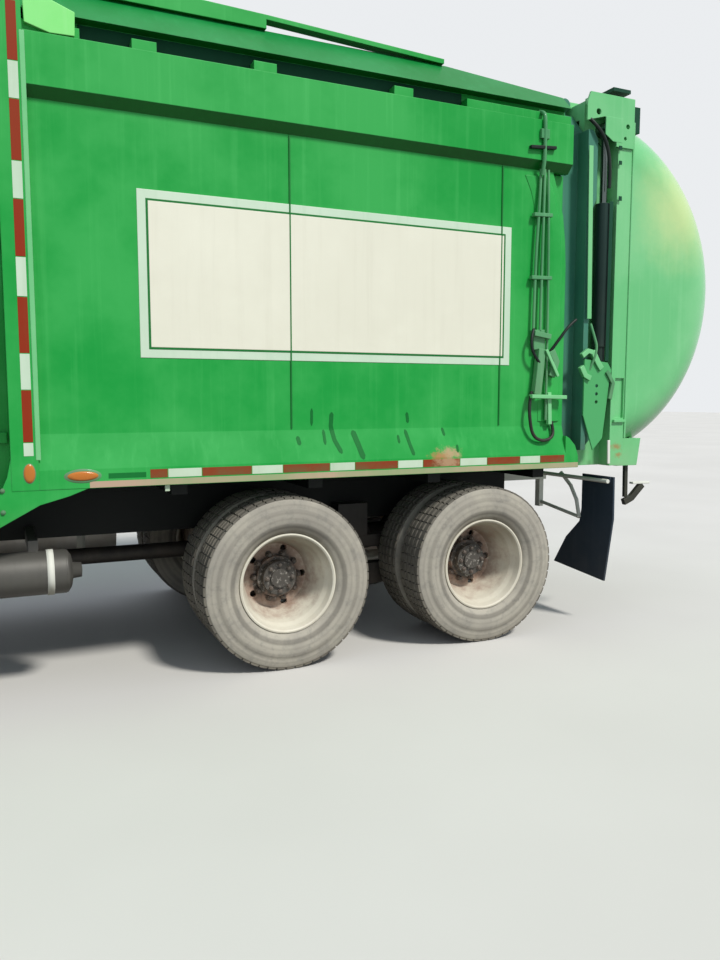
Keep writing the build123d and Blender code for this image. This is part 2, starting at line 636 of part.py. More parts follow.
with BuildPart() as dome:
    dome_solid(0)
    dome_solid(DOME_WALL, mode=Mode.SUBTRACT)
    slab((DOME_BASE, DOME_AXIS[0] + 100), (-1300, 1300), (1000, 3800), mode=Mode.SUBTRACT)
    side_plate(SUMP_OUTER, 0, 2 * SUMP_Y)
    side_plate(SUMP_INNER, 0, 2 * (SUMP_Y - DOME_WALL), mode=Mode.SUBTRACT)
save(dome, "tailgate_dome")

# Gate rams: base on the body, rod eye on the tailgate
RAM_BARREL_R = 50.0
RAM_ROD_R = 24.0
RAM_BARREL_START = 170.0
RAM_BARREL_END = 1130.0
RAM_ROD_START = 560.0
RAM_EYE_Y = (RAM_Y - 45, RAM_Y + 45)


def eye(point, y, radius):
    """A round eye for a cross pin, solid until its bore is cut."""
    cross_bar(point, radius, y)


def eye_bore(point, y):
    """The bore of an eye, with a running fit on its pin."""
    cross_bar(point, PIN_R + RUNNING_FIT, (y[0] - 1, y[1] + 1), mode=Mode.SUBTRACT)


with BuildPart() as ram_barrels:
    for side in (1, -1):
        link(RAM_BASE, RAM_TOP, side * RAM_Y, RAM_BARREL_R, RAM_BARREL_START, RAM_BARREL_END)
        link(RAM_BASE, RAM_TOP, side * RAM_Y, 40, 30, RAM_BARREL_START)
        y = across(side, *RAM_EYE_Y)
        eye(RAM_BASE, y, 48)
        eye_bore(RAM_BASE, y)
        bore = (RAM_BARREL_START + 40, RAM_BARREL_END + 1)
        link(RAM_BASE, RAM_TOP, side * RAM_Y, RAM_ROD_R + RUNNING_FIT, *bore, mode=Mode.SUBTRACT)
save(ram_barrels, "ram_barrels")

with BuildPart() as ram_rods:
    for side in (1, -1):
        link(RAM_BASE, RAM_TOP, side * RAM_Y, RAM_ROD_R, RAM_ROD_START)
        y = across(side, *RAM_EYE_Y)
        eye(RAM_TOP, y, 45)
save(ram_rods, "ram_rods")

# Lifting arms, with the torsion tube that joins them
ARM_Y = (ARM_IN_Y + ARM_OUT_Y) / 2
ARM_W = ARM_OUT_Y - ARM_IN_Y
ARM_DEPTH = 190.0
FORK_PIN_R = 45.0
LIFT_Y = 1125.0
LIFT_LUG = polar(ARM_PIVOT, LIFT_LUG_R, LIFT_LUG_ANGLE)


def limb(a, b, y, depth, width):
    """A flat limb with round ends between two (s, z) points."""
    length = hypot(b[0] - a[0], b[1] - a[1])
    angle = degrees(atan2(b[1] - a[1], b[0] - a[0]))
    middle = spot(((a[0] + b[0]) / 2, (a[1] + b[1]) / 2))
    with BuildSketch(side_plane(y)) as outline:
        with Locations(middle):
            SlotCenterToCenter(length, depth, rotation=angle)
    extrude(outline.sketch, amount=width / 2, both=True)


with BuildPart() as lift_arms:
    cross_bar(ARM_PIVOT, TORSION_R, (-ARM_OUT_Y, ARM_OUT_Y))
    for side in (1, -1):
        limb(ARM_PIVOT, ARM_BEND, side * ARM_Y, ARM_DEPTH, ARM_W)
        limb(ARM_BEND, FORK_PIVOT, side * ARM_Y, ARM_DEPTH, ARM_W)
        cross_bar(ARM_PIVOT, 130.0, across(side, ARM_IN_Y, ARM_OUT_Y))
        limb(ARM_PIVOT, LIFT_LUG, side * (ARM_IN_Y + 12), 120, 24)
        limb(ARM_PIVOT, LIFT_LUG, side * (LIFT_Y - 57), 120, 24)
        pin_y = across(side, ARM_IN_Y - 1, ARM_OUT_Y + 1)
        cross_bar(FORK_PIVOT, FORK_PIN_R + RUNNING_FIT, pin_y, mode=Mode.SUBTRACT)
save(lift_arms, "lift_arms")

# Brackets on the arms' inner faces, which hold the fork cylinders' base pins
with BuildPart() as arm_brackets:
    for side in (1, -1):
        cross_bar(FORK_RAM_BASE, PIN_R, across(side, FORK_RAM_Y - 52, ARM_IN_Y))
        side_plate([(4800, 3640), (4990, 3630), (4960, 3440), (4840, 3440)], side * (FORK_RAM_Y - 42), 20)
        slab((4820, 4960), across(side, FORK_RAM_Y - 52, ARM_IN_Y), (3600, 3625))
save(arm_brackets, "arm_brackets")

# Forks, carried by a tube whose ends turn in the arms
FORK_CRANK_R = 180.0
FORK_CRANK = polar(FORK_PIVOT, FORK_CRANK_R, 138.0)
FORK_W = 70.0
FORK_OUTLINE = (  # distance from the tube towards the tip, distance off the fork's middle line
    (-60, 90), (250, 90), (FORK_LENGTH, 27), (FORK_LENGTH, -9), (250, -81), (-60, -90),
)


def on_fork(reach, off):
    """The (s, z) point at a distance along the fork and off its middle line."""
    return polar(polar(FORK_PIVOT, reach, FORK_TILT), off, FORK_TILT + 90)


with BuildPart() as forks:
    cross_bar(FORK_PIVOT, FORK_TUBE_R, (-ARM_IN_Y + 5, ARM_IN_Y - 5))
    cross_bar(FORK_PIVOT, FORK_PIN_R, (-ARM_OUT_Y, ARM_OUT_Y))
    for side in (1, -1):
        side_plate([on_fork(reach, off) for reach, off in FORK_OUTLINE], side * FORK_Y, FORK_W)
save(forks, "forks")

# Crank plates on the forks' tube, with the cylinder's eye between each pair
with BuildPart() as fork_cranks:
    for side in (1, -1):
        for inner, outer in ((FORK_RAM_Y - 52, FORK_RAM_Y - 32), (FORK_RAM_Y + 32, FORK_RAM_Y + 52)):
            limb(FORK_PIVOT, FORK_CRANK, side * (inner + outer) / 2, 100, outer - inner)
            cross_bar(FORK_PIVOT, FORK_TUBE_R, across(side, inner - 1, outer + 1), mode=Mode.SUBTRACT)
save(fork_cranks, "fork_cranks")

# Lift cylinders, from the chassis to the arms' lugs
LIFT_LENGTH = hypot(LIFT_LUG[0] - LIFT_BASE[0], LIFT_LUG[1] - LIFT_BASE[1])
LIFT_EYE_Y = (LIFT_Y - 40, LIFT_Y + 40)
LIFT_ROD_R = 32.0
with BuildPart() as lift_barrels:
    for side in (1, -1):
        link(LIFT_BASE, LIFT_LUG, side * LIFT_Y, 52, 45, 1230)
        y = across(side, *LIFT_EYE_Y)
        cross_bar(LIFT_BASE, 55, y)
        cross_bar(LIFT_BASE, LIFT_PIN_R + RUNNING_FIT, (y[0] - 1, y[1] + 1), mode=Mode.SUBTRACT)
        bore_r = LIFT_ROD_R + RUNNING_FIT
        link(LIFT_BASE, LIFT_LUG, side * LIFT_Y, bore_r, 100, 1231, mode=Mode.SUBTRACT)
save(lift_barrels, "lift_barrels")

with BuildPart() as lift_rods:
    for side in (1, -1):
        link(LIFT_BASE, LIFT_LUG, side * LIFT_Y, LIFT_ROD_R, 480)
        y = across(side, *LIFT_EYE_Y)
        cross_bar(LIFT_LUG, 52, y)
save(lift_rods, "lift_rods")

# Fork cylinders, from the arms to the fork cranks
FORK_EYE_Y = (FORK_RAM_Y - 25, FORK_RAM_Y + 25)
FORK_ROD_R = 20.0
with BuildPart() as fork_barrels:
    for side in (1, -1):
        link(FORK_RAM_BASE, FORK_CRANK, side * FORK_RAM_Y, 30, 35, 860)
        y = across(side, *FORK_EYE_Y)
        cross_bar(FORK_RAM_BASE, 38, y)
        cross_bar(FORK_RAM_BASE, PIN_R + RUNNING_FIT, (y[0] - 1, y[1] + 1), mode=Mode.SUBTRACT)
        bore_r = FORK_ROD_R + RUNNING_FIT
        link(FORK_RAM_BASE, FORK_CRANK, side * FORK_RAM_Y, bore_r, 60, 861, mode=Mode.SUBTRACT)
save(fork_barrels, "fork_barrels")

with BuildPart() as fork_rods:
    for side in (1, -1):
        link(FORK_RAM_BASE, FORK_CRANK, side * FORK_RAM_Y, FORK_ROD_R, 400)
        y = across(side, *FORK_EYE_Y)
        cross_bar(FORK_CRANK, 38, y)
save(fork_rods, "fork_rods")

# Cab shell, with its doorways and windows cut
CAB_OUTLINE = (
    (CAB_BACK, CAB_FLOOR_Z), (CAB_FACE, CAB_FLOOR_Z), (CAB_FACE, CAB_SILL_Z), (CAB_BROW, CAB_EAVES_Z),
    (CAB_BROW - 80, CAB_ROOF_Z), (CAB_BACK + 60, CAB_ROOF_Z), (CAB_BACK, CAB_EAVES_Z),
)
CAB_INSIDE = (
    (CAB_BACK + CAB_WALL, CAB_FLOOR_Z + CAB_WALL), (CAB_FACE - CAB_WALL, CAB_FLOOR_Z + CAB_WALL),
    (CAB_FACE - CAB_WALL, CAB_SILL_Z), (CAB_BROW - CAB_WALL, CAB_EAVES_Z - 10),
    (CAB_BROW - 100, CAB_ROOF_Z - CAB_WALL), (CAB_BACK + 80, CAB_ROOF_Z - CAB_WALL),
    (CAB_BACK + CAB_WALL, CAB_EAVES_Z - 10),
)
SCREEN_Z = (1800.0, 2600.0)
SCREEN_Y = 800.0
QUARTER = ((4790.0, 5210.0), (1900.0, 2500.0))
REAR_WINDOW = (330.0, (2050.0, 2450.0))
DOOR_HINGE_S = DOOR_FRONT - 4
DOOR_HINGE_Y = CAB_HALF_W + 16
DOOR_HINGE_R = 14.0
DOOR_HINGES = (1340.0, 2440.0)


def cab_face(z):
    """The station of the cab's sloping front at a height."""
    return CAB_FACE - (z - CAB_SILL_Z) * (CAB_FACE - CAB_BROW) / (CAB_EAVES_Z - CAB_SILL_Z)


with BuildPart() as cab_shell:
    side_plate(CAB_OUTLINE, 0, 2 * CAB_HALF_W)
    flanks = cab_shell.faces().sort_by(Axis.Y)
    fillet(flanks[0].edges() + flanks[-1].edges(), CAB_CORNER_R)
    side_plate(CAB_INSIDE, 0, 2 * (CAB_HALF_W - CAB_WALL), mode=Mode.SUBTRACT)
    slab((DOOR_REAR, DOOR_FRONT), (-1000, 1000), (DOOR_LOW_Z, DOOR_HIGH_Z), mode=Mode.SUBTRACT)
    slab(QUARTER[0], (-1000, 1000), QUARTER[1], mode=Mode.SUBTRACT)
    slab((CAB_BROW - 60, CAB_FACE + 40), (-SCREEN_Y, SCREEN_Y), SCREEN_Z, mode=Mode.SUBTRACT)
    slab((CAB_BACK - 20, CAB_BACK + 70), (-REAR_WINDOW[0], REAR_WINDOW[0]), REAR_WINDOW[1], mode=Mode.SUBTRACT)
    for side in (1, -1):
        for z in DOOR_HINGES:
            for end in (-50, 50):
                with Locations((station(DOOR_HINGE_S), side * DOOR_HINGE_Y, z + end)):
                    Cylinder(DOOR_HINGE_R, 28)
                strap_y = across(side, CAB_HALF_W - 2, CAB_HALF_W + 12)
                slab((DOOR_HINGE_S + 8, DOOR_HINGE_S + 50), strap_y, (z + end - 14, z + end + 14))
save(cab_shell, "cab_shell")

with BuildPart() as cab_glass:
    low, high = SCREEN_Z
    screen = [(cab_face(z) - inset, z) for z, inset in ((low, 28), (low, 18), (high, 18), (high, 28))]
    side_plate(screen, 0, 2 * SCREEN_Y)
    for side in (1, -1):
        slab(QUARTER[0], across(side, CAB_HALF_W - 28, CAB_HALF_W - 20), QUARTER[1])
    slab((CAB_BACK + 20, CAB_BACK + 28), (-REAR_WINDOW[0], REAR_WINDOW[0]), REAR_WINDOW[1])
save(cab_glass, "cab_glass")

DOOR_WINDOW = ((DOOR_REAR + 80, DOOR_FRONT - 90), (1830.0, 2500.0))
for side_name, side in SIDES:
    skin = across(side, CAB_HALF_W - CAB_WALL, CAB_HALF_W)
    with BuildPart() as cab_door:
        slab((DOOR_REAR + GAP, DOOR_FRONT - GAP), skin, (DOOR_LOW_Z + GAP, DOOR_HIGH_Z - GAP))
        slab(DOOR_WINDOW[0], (-1000, 1000), DOOR_WINDOW[1], mode=Mode.SUBTRACT)
        slab((DOOR_REAR + 60, DOOR_REAR + 190), across(side, CAB_HALF_W, CAB_HALF_W + 22), (1700, 1730))
        for z in DOOR_HINGES:
            with Locations((station(DOOR_HINGE_S), side * DOOR_HINGE_Y, z)):
                Cylinder(DOOR_HINGE_R, 60)
            leaf_y = across(side, CAB_HALF_W - 2, CAB_HALF_W + 10)
            slab((DOOR_HINGE_S - 60, DOOR_HINGE_S), leaf_y, (z - 30, z + 30))
    save(cab_door, f"cab_door_{side_name}")
    with BuildPart() as door_glass:
        slab(DOOR_WINDOW[0], across(side, CAB_HALF_W - 28, CAB_HALF_W - 20), DOOR_WINDOW[1])
    save(door_glass, f"door_glass_{side_name}")

# Inside the cab
with BuildPart() as dashboard:
    side_plate([(6345, 1300), (6345, 1760), (6290, 1800), (5960, 1740), (5990, 1560), (6150, 1300)], 0, 1690)
    link((6050, 1700), (5800, 1900), 450, 28)
    with Locations(Location((station(5800), 450, 1900), (0, -38, 0))):
        Torus(215, 16)
        Box(415, 30, 12)
        Box(30, 415, 12)
save(dashboard, "dashboard")

SEAT_Y = 460.0
SEAT_W = 480.0
SEAT = ((4960, 1480), (5520, 1480), (5520, 1620), (5130, 1600), (5020, 2300), (4900, 2300))
with BuildPart() as seats:
    for side in (1, -1):
        slab((5000, 5480), across(side, SEAT_Y - 230, SEAT_Y + 230), (1180, 1480))
        side_plate(SEAT, side * SEAT_Y, SEAT_W)
save(seats, "seats")

# Cab front and sides
with BuildPart() as bumper:
    with BuildSketch(Plane.XY.offset(400)) as plan:
        with BuildLine():
            Polyline(
                *[(station(s), y) for s, y in (
                    (6455, 820), (6455, -820), (6330, -1120), (6180, -1120), (6180, -1060), (6290, -1060),
                    (6395, -800), (6395, 800), (6290, 1060), (6180, 1060), (6180, 1120), (6330, 1120))],
                close=True,
            )
        make_face()
    extrude(plan.sketch, amount=330)
    for side in (1, -1):
        slab((6290, 6400), across(side, 340, RAIL_OUT_Y), (500, 720))
        slab((6150, 6300), across(side, 340, RAIL_OUT_Y), (560, 770))
save(bumper, "bumper")

with BuildPart() as grille:
    for side in (1, -1):
        slab((CAB_FACE, CAB_FACE + 24), across(side, 460, 490), (1200, 1640))
    for z in range(1200, 1641, 55):
        slab((CAB_FACE, CAB_FACE + 18), (-475, 475), (z - 12, z + 12))
save(grille, "grille")

with BuildPart() as headlamps:
    for side in (1, -1):
        slab((CAB_FACE, CAB_FACE + 30), across(side, 560, 820), (1210, 1400))
save(headlamps, "headlamps")

with BuildPart() as mirrors:
    for side in (1, -1):
        slab((6255, 6305), across(side, 935, 1040), (1950, 2400))
        for z in (2010, 2330):
            slab((6240, 6270), across(side, CAB_HALF_W, 945), (z, z + 25))
save(mirrors, "mirrors")

with BuildPart() as cab_steps:
    for side in (1, -1):
        side_plate([(5750, 1130), (5750, 420), (5810, 380), (6170, 380), (6170, 1130)], side * 840, 130)
        for z in (470, 800):
            slab((5800, 6120), across(side, 800, 1000), (z, z + 240), mode=Mode.SUBTRACT)
save(cab_steps, "cab_steps")

with BuildPart() as fenders:
    for side in (1, -1):
        side_plate(
            [(4620, 1110), (5620, 1110), (5745, 860), (5745, 900), (5640, 1130), (4620, 1130)],
            side * 1035, 310,
        )
save(fenders, "front_fenders")

# Tanks beside the chassis
with BuildPart() as muffler:
    long_bar((1915, 2640), 990, 672, 120)
    for s in (2050, 2480):
        slab((s, s + 50), (RAIL_OUT_Y, 990), (RAIL_TOP_Z - 270, RAIL_TOP_Z - 190))
save(muffler, "side_muffler")

with BuildPart() as fuel_tank:
    long_bar((1450, 2690), -790, 660, 290)
    for s in (1650, 2430):
        slab((s, s + 60), (-780, -RAIL_OUT_Y), (RAIL_TOP_Z - 250, RAIL_TOP_Z - 150))
save(fuel_tank, "fuel_tank")

with BuildPart() as battery_box:
    slab((3050, 4050), (560, 1040), (470, 880))
    for s in (3150, 3850):
        slab((s, s + 60), (RAIL_OUT_Y, 560), (RAIL_TOP_Z - 250, RAIL_TOP_Z - 170))
save(battery_box, "battery_box")

# Flaps behind the drive wheels, and the tubes that they hang from
FLAP_S = -1745.0
FLAP_OUTLINE = (
    (870, 1060), (1200, 1060), (1205, 760), (1130, 300), (560, 345), (700, 560), (850, 700), (870, 800),
)
FLAP_HOOP = ((640, 1050), (760, 960), (830, 860), (862, 740))
HANGER_S = -1715.0


def bar(a, b, radius):
    """A round bar between two places given as (s, y, z)."""
    start, stop = (Vector(station(s), y, z) for s, y, z in (a, b))
    with Locations(Plane(origin=(start + stop) / 2, z_dir=stop - start).location):
        Cylinder(radius, (stop - start).length)


with BuildPart() as mud_flaps:
    for side in (1, -1):
        with BuildSketch(Plane.YZ.offset(station(FLAP_S))) as flap:
            with BuildLine():
                Polyline(*[(side * y, z) for y, z in FLAP_OUTLINE], close=True)
            make_face()
        extrude(flap.sketch, amount=15)
        slab((FLAP_S + 12, HANGER_S), across(side, 900, 1180), (1020, 1060))
save(mud_flaps, "mud_flaps")

with BuildPart() as flap_hangers:
    for side in (1, -1):
        slab((HANGER_S - 20, RAIL_REAR), across(side, 347, RAIL_OUT_Y), (980, RAIL_TOP_Z))
        slab((HANGER_S - 20, HANGER_S + 20), across(side, 347, 400), (760, RAIL_TOP_Z))
        bar((HANGER_S + 15, side * 380, 1030), (HANGER_S + 15, side * 1180, 1030), 15)
        bar((HANGER_S, side * 380, 800), (HANGER_S, side * 865, 735), 13)
        for (y0, z0), (y1, z1) in zip(FLAP_HOOP, FLAP_HOOP[1:]):
            bar((HANGER_S, side * y0, z0), (HANGER_S, side * y1, z1), 14)
            with Locations((station(HANGER_S), side * y1, z1)):
                Sphere(15)
save(flap_hangers, "flap_hangers")



def sump_face(z):
    """The station of the tailgate sump's sloping rear face at a height."""
    return SUMP_REAR - (z - 1135) * 30 / 195


# Tail lamps, on the sloping rear face of the sump
TAIL_LAMP_Z = (1145.0, 1245.0)
TAIL_LAMP_T = 25.0
with BuildPart() as tail_lamps:
    low, high = TAIL_LAMP_Z
    outline = [
        (sump_face(low), low), (sump_face(high), high),
        (sump_face(high) - TAIL_LAMP_T, high), (sump_face(low) - TAIL_LAMP_T, low),
    ]
    for side in (1, -1):
        side_plate(outline, side * 955, 270)
save(tail_lamps, "tail_lamps")
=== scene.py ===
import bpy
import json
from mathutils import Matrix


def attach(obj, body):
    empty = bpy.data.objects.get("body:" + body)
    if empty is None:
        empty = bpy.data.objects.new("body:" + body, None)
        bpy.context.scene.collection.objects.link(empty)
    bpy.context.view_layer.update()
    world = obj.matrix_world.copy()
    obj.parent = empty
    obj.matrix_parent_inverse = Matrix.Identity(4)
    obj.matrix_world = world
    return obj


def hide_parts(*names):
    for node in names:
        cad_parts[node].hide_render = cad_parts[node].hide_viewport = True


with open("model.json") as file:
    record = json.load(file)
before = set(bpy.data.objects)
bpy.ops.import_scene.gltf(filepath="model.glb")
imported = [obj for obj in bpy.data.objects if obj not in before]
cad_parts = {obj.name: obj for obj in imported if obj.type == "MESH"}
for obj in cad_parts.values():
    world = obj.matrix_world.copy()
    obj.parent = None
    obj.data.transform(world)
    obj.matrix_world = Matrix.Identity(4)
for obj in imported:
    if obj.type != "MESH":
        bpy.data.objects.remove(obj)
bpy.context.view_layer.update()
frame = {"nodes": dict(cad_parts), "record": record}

import json
from math import cos, pi, radians, sin

import bmesh
import bpy
from mathutils import Matrix, Vector

nodes = frame["nodes"]

# %% [markdown]
# ## Where things are
# Places along the truck are easier to think of as stations, forward of the middle of the two rear
# axles. at() turns a station into the model's X, and both sides are made by one call with side = 1
# for the left and side = -1 for the right.
# %% Shared places
TANDEM_X = -1.860
TANDEM_SPREAD = 1.370
STEER_S = 5.050
WALL_Y = 1.170
HALF_WIDTH = 1.220
TYRE_R = 0.520
SIDES = (("left", 1), ("right", -1))
DRIVE_AXLES = (("front", TANDEM_SPREAD / 2), ("rear", -TANDEM_SPREAD / 2))
AXLE_STATIONS = {**dict(DRIVE_AXLES), "steer": STEER_S}


def at(s):
    """The model's X of a station."""
    return s + TANDEM_X


def pair(side, a, b):
    """Two y limits in order, on the side of the truck that is asked for."""
    return tuple(sorted((side * a, side * b)))


def axle_of(node):
    """The axle that a wheel or tyre node stands on."""
    return "steer" if node.startswith("steer") else node.split("_")[2]


print("axles at stations", AXLE_STATIONS)

# %% [markdown]
# ## Small tools for node trees
# A shader or geometry tree is only nodes and wires. These helpers add one node, set its options and
# plug in its inputs, so that each material below reads as one recipe.
# %% Node helpers
def add(tree, kind, options=(), **inputs):
    """Adds a node. options are its own settings, inputs are values, or sockets to wire in."""
    made = tree.nodes.new(kind)
    for name, value in dict(options).items():
        setattr(made, name, value)
    for name, value in inputs.items():
        plug(tree, made.inputs[name.replace("_", " ")], value)
    return made


def plug(tree, socket, value):
    """Wires a socket to an input, or sets the input's value."""
    if isinstance(value, bpy.types.NodeSocket):
        tree.links.new(value, socket)
    else:
        socket.default_value = value


def maths(tree, operation, a, b=0.0, clamp=False):
    """One arithmetic step."""
    made = add(tree, "ShaderNodeMath", {"operation": operation, "use_clamp": clamp})
    plug(tree, made.inputs[0], a)
    plug(tree, made.inputs[1], b)
    return made.outputs[0]


def vector_maths(tree, operation, *values):
    """One step of vector arithmetic, whose result is a number or a vector."""
    made = add(tree, "ShaderNodeVectorMath", {"operation": operation})
    for socket, value in zip(made.inputs, values):
        plug(tree, socket, value)
    return made.outputs["Value" if operation in ("DOT_PRODUCT", "DISTANCE", "LENGTH") else "Vector"]


def object_place(tree):
    """The shaded point's place on the truck, in metres."""
    return add(tree, "ShaderNodeTexCoord").outputs["Object"]


def blend_colours(tree, share, a, b):
    """a where share is 0, b where it is 1."""
    made = add(tree, "ShaderNodeMix", {"data_type": "RGBA"})
    plug(tree, made.inputs[0], share)
    plug(tree, made.inputs[6], a)
    plug(tree, made.inputs[7], b)
    return made.outputs[2]


def stretch(tree, value, low, high, start=0.0, stop=1.0):
    """Maps low..high to start..stop, and holds the ends."""
    made = add(tree, "ShaderNodeMapRange", {"interpolation_type": "SMOOTHSTEP"}, Value=value)
    for name, number in (("From Min", low), ("From Max", high), ("To Min", start), ("To Max", stop)):
        plug(tree, made.inputs[name], number)
    return made.outputs[0]


def noise(tree, place, scale, detail=4.0, roughness=0.55):
    """A cloudy value about 0.5."""
    made = add(tree, "ShaderNodeTexNoise", Vector=place, Scale=scale, Detail=detail, Roughness=roughness)
    return made.outputs["Fac"]


def ragged(tree, place, scale, size, roughness=0.7):
    """A cloudy value about zero, which roughens the edge of a patch."""
    cloud = noise(tree, place, scale, 6.0, roughness)
    return maths(tree, "MULTIPLY", maths(tree, "SUBTRACT", cloud, 0.5), size)


def squeezed(tree, place, scale):
    """The same place with its axes scaled, which draws a pattern out into streaks."""
    return add(tree, "ShaderNodeMapping", Vector=place, Scale=scale).outputs[0]


def new_group(name, inputs, outputs):
    """An empty shader group with named inputs and outputs."""
    tree = bpy.data.node_groups.new(name, "ShaderNodeTree")
    for label, kind, value in inputs:
        socket = tree.interface.new_socket(name=label, in_out="INPUT", socket_type=kind)
        socket.default_value = value
    for label, kind in outputs:
        tree.interface.new_socket(name=label, in_out="OUTPUT", socket_type=kind)
    return tree, tree.nodes.new("NodeGroupInput"), tree.nodes.new("NodeGroupOutput")


# %% [markdown]
# ## Weather
# On the real truck no panel has one colour. Sun bleaches it in patches, rain draws dirt down in
# streaks, and the road throws dust at whatever is low. Painted shade darkens faces that look down, and
# on body green also faces that look up. One group does it all from the place on the truck and the way
# each face looks, so that each paint only says how much it has.
# %% Weathering group
# Under and Top are painted shade: colours that multiply the paint where a face looks down or up.
weathering, enter, leave = new_group(
    "Weathering",
    [
        ("Clean", "NodeSocketColor", (0.03, 0.4, 0.08, 1)), ("Faded", "NodeSocketColor", (0.1, 0.5, 0.17, 1)),
        ("Dust", "NodeSocketColor", (0.3, 0.26, 0.2, 1)), ("Patch Scale", "NodeSocketFloat", 1.3),
        ("Fading", "NodeSocketFloat", 0.5), ("Streaks", "NodeSocketFloat", 0.3),
        ("Dust Low", "NodeSocketFloat", 0.3), ("Dust High", "NodeSocketFloat", 1.2),
        ("Dust Amount", "NodeSocketFloat", 0.6), ("Under Shade", "NodeSocketColor", (0.55, 0.53, 0.50, 1)),
        ("Top", "NodeSocketColor", (1, 1, 1, 1)),
    ],
    [("Color", "NodeSocketColor"), ("Dirt", "NodeSocketFloat"), ("Height", "NodeSocketFloat")],
)
place = object_place(weathering)
height = add(weathering, "ShaderNodeSeparateXYZ", Vector=place).outputs["Z"]
patches = stretch(weathering, noise(weathering, place, enter.outputs["Patch Scale"], 5.0, 0.6), 0.36, 0.66)
runs = noise(weathering, squeezed(weathering, place, (9.0, 9.0, 0.30)), 2.2, 6.0, 0.62)
runs = maths(weathering, "MULTIPLY", stretch(weathering, runs, 0.50, 0.72), enter.outputs["Streaks"])
fading = maths(weathering, "MULTIPLY", patches, enter.outputs["Fading"])
fading = maths(weathering, "ADD", fading, runs, clamp=True)
paint = blend_colours(weathering, fading, enter.outputs["Clean"], enter.outputs["Faded"])
low = stretch(weathering, height, enter.outputs["Dust Low"], enter.outputs["Dust High"], 1.0, 0.0)
spots = stretch(weathering, noise(weathering, place, 5.5, 7.0, 0.68), 0.32, 0.68, 0.25, 1.0)
dirt = maths(weathering, "MULTIPLY", low, spots)
dirt = maths(weathering, "MULTIPLY", dirt, enter.outputs["Dust Amount"], clamp=True)
paint = blend_colours(weathering, dirt, paint, enter.outputs["Dust"])
facing = add(weathering, "ShaderNodeTexCoord").outputs["Normal"]
facing = add(weathering, "ShaderNodeSeparateXYZ", Vector=facing).outputs["Z"]
# Painted shade by the way a face looks: one colour where it looks down, another where it looks up.
FACING_SHADES = (  # tint, upward share of the normal from and to, strength there
    ("Under Shade", (-0.75, -0.15), (1.0, 0.0)), ("Top", (0.15, 0.62), (0.0, 1.0)),
)
for tint, limits, strengths in FACING_SHADES:
    share = stretch(weathering, facing, *limits, *strengths)
    tinted = add(weathering, "ShaderNodeMix", {"data_type": "RGBA", "blend_type": "MULTIPLY"})
    plug(weathering, tinted.inputs[0], share)
    plug(weathering, tinted.inputs[6], paint)
    plug(weathering, tinted.inputs[7], enter.outputs[tint])
    paint = tinted.outputs[2]
grain = noise(weathering, place, 85.0, 3.0, 0.6)
plug(weathering, leave.inputs["Color"], paint)
plug(weathering, leave.inputs["Dirt"], dirt)
plug(weathering, leave.inputs["Height"], grain)
print("group", weathering.name)

# %% [markdown]
# ## Edges
# Pressed and welded steel has no knife edges, and paint rubs thin along them first. The Bevel node
# rounds the shading of any mesh, also of a CAD solid whose mesh must stay as it is, and where the
# rounded normal leaves the true one there is an edge.
# %% Edge group
edges, enter, leave = new_group(
    "Soft edges",
    [("Radius", "NodeSocketFloat", 0.006), ("Wear", "NodeSocketFloat", 0.5)],
    [("Normal", "NodeSocketVector"), ("Worn", "NodeSocketFloat")],
)
rounded = add(edges, "ShaderNodeBevel", {"samples": 4}, Radius=enter.outputs["Radius"]).outputs[0]
true_normal = add(edges, "ShaderNodeNewGeometry").outputs["Normal"]
turned_by = maths(edges, "SUBTRACT", 1.0, vector_maths(edges, "DOT_PRODUCT", rounded, true_normal))
place = object_place(edges)
broken = stretch(edges, noise(edges, place, 16.0, 5.0, 0.7), 0.42, 0.62)
worn = maths(edges, "MULTIPLY", stretch(edges, turned_by, 0.01, 0.12), broken)
plug(edges, leave.inputs["Normal"], rounded)
plug(edges, leave.inputs["Worn"], maths(edges, "MULTIPLY", worn, enter.outputs["Wear"], clamp=True))
print("group", edges.name)

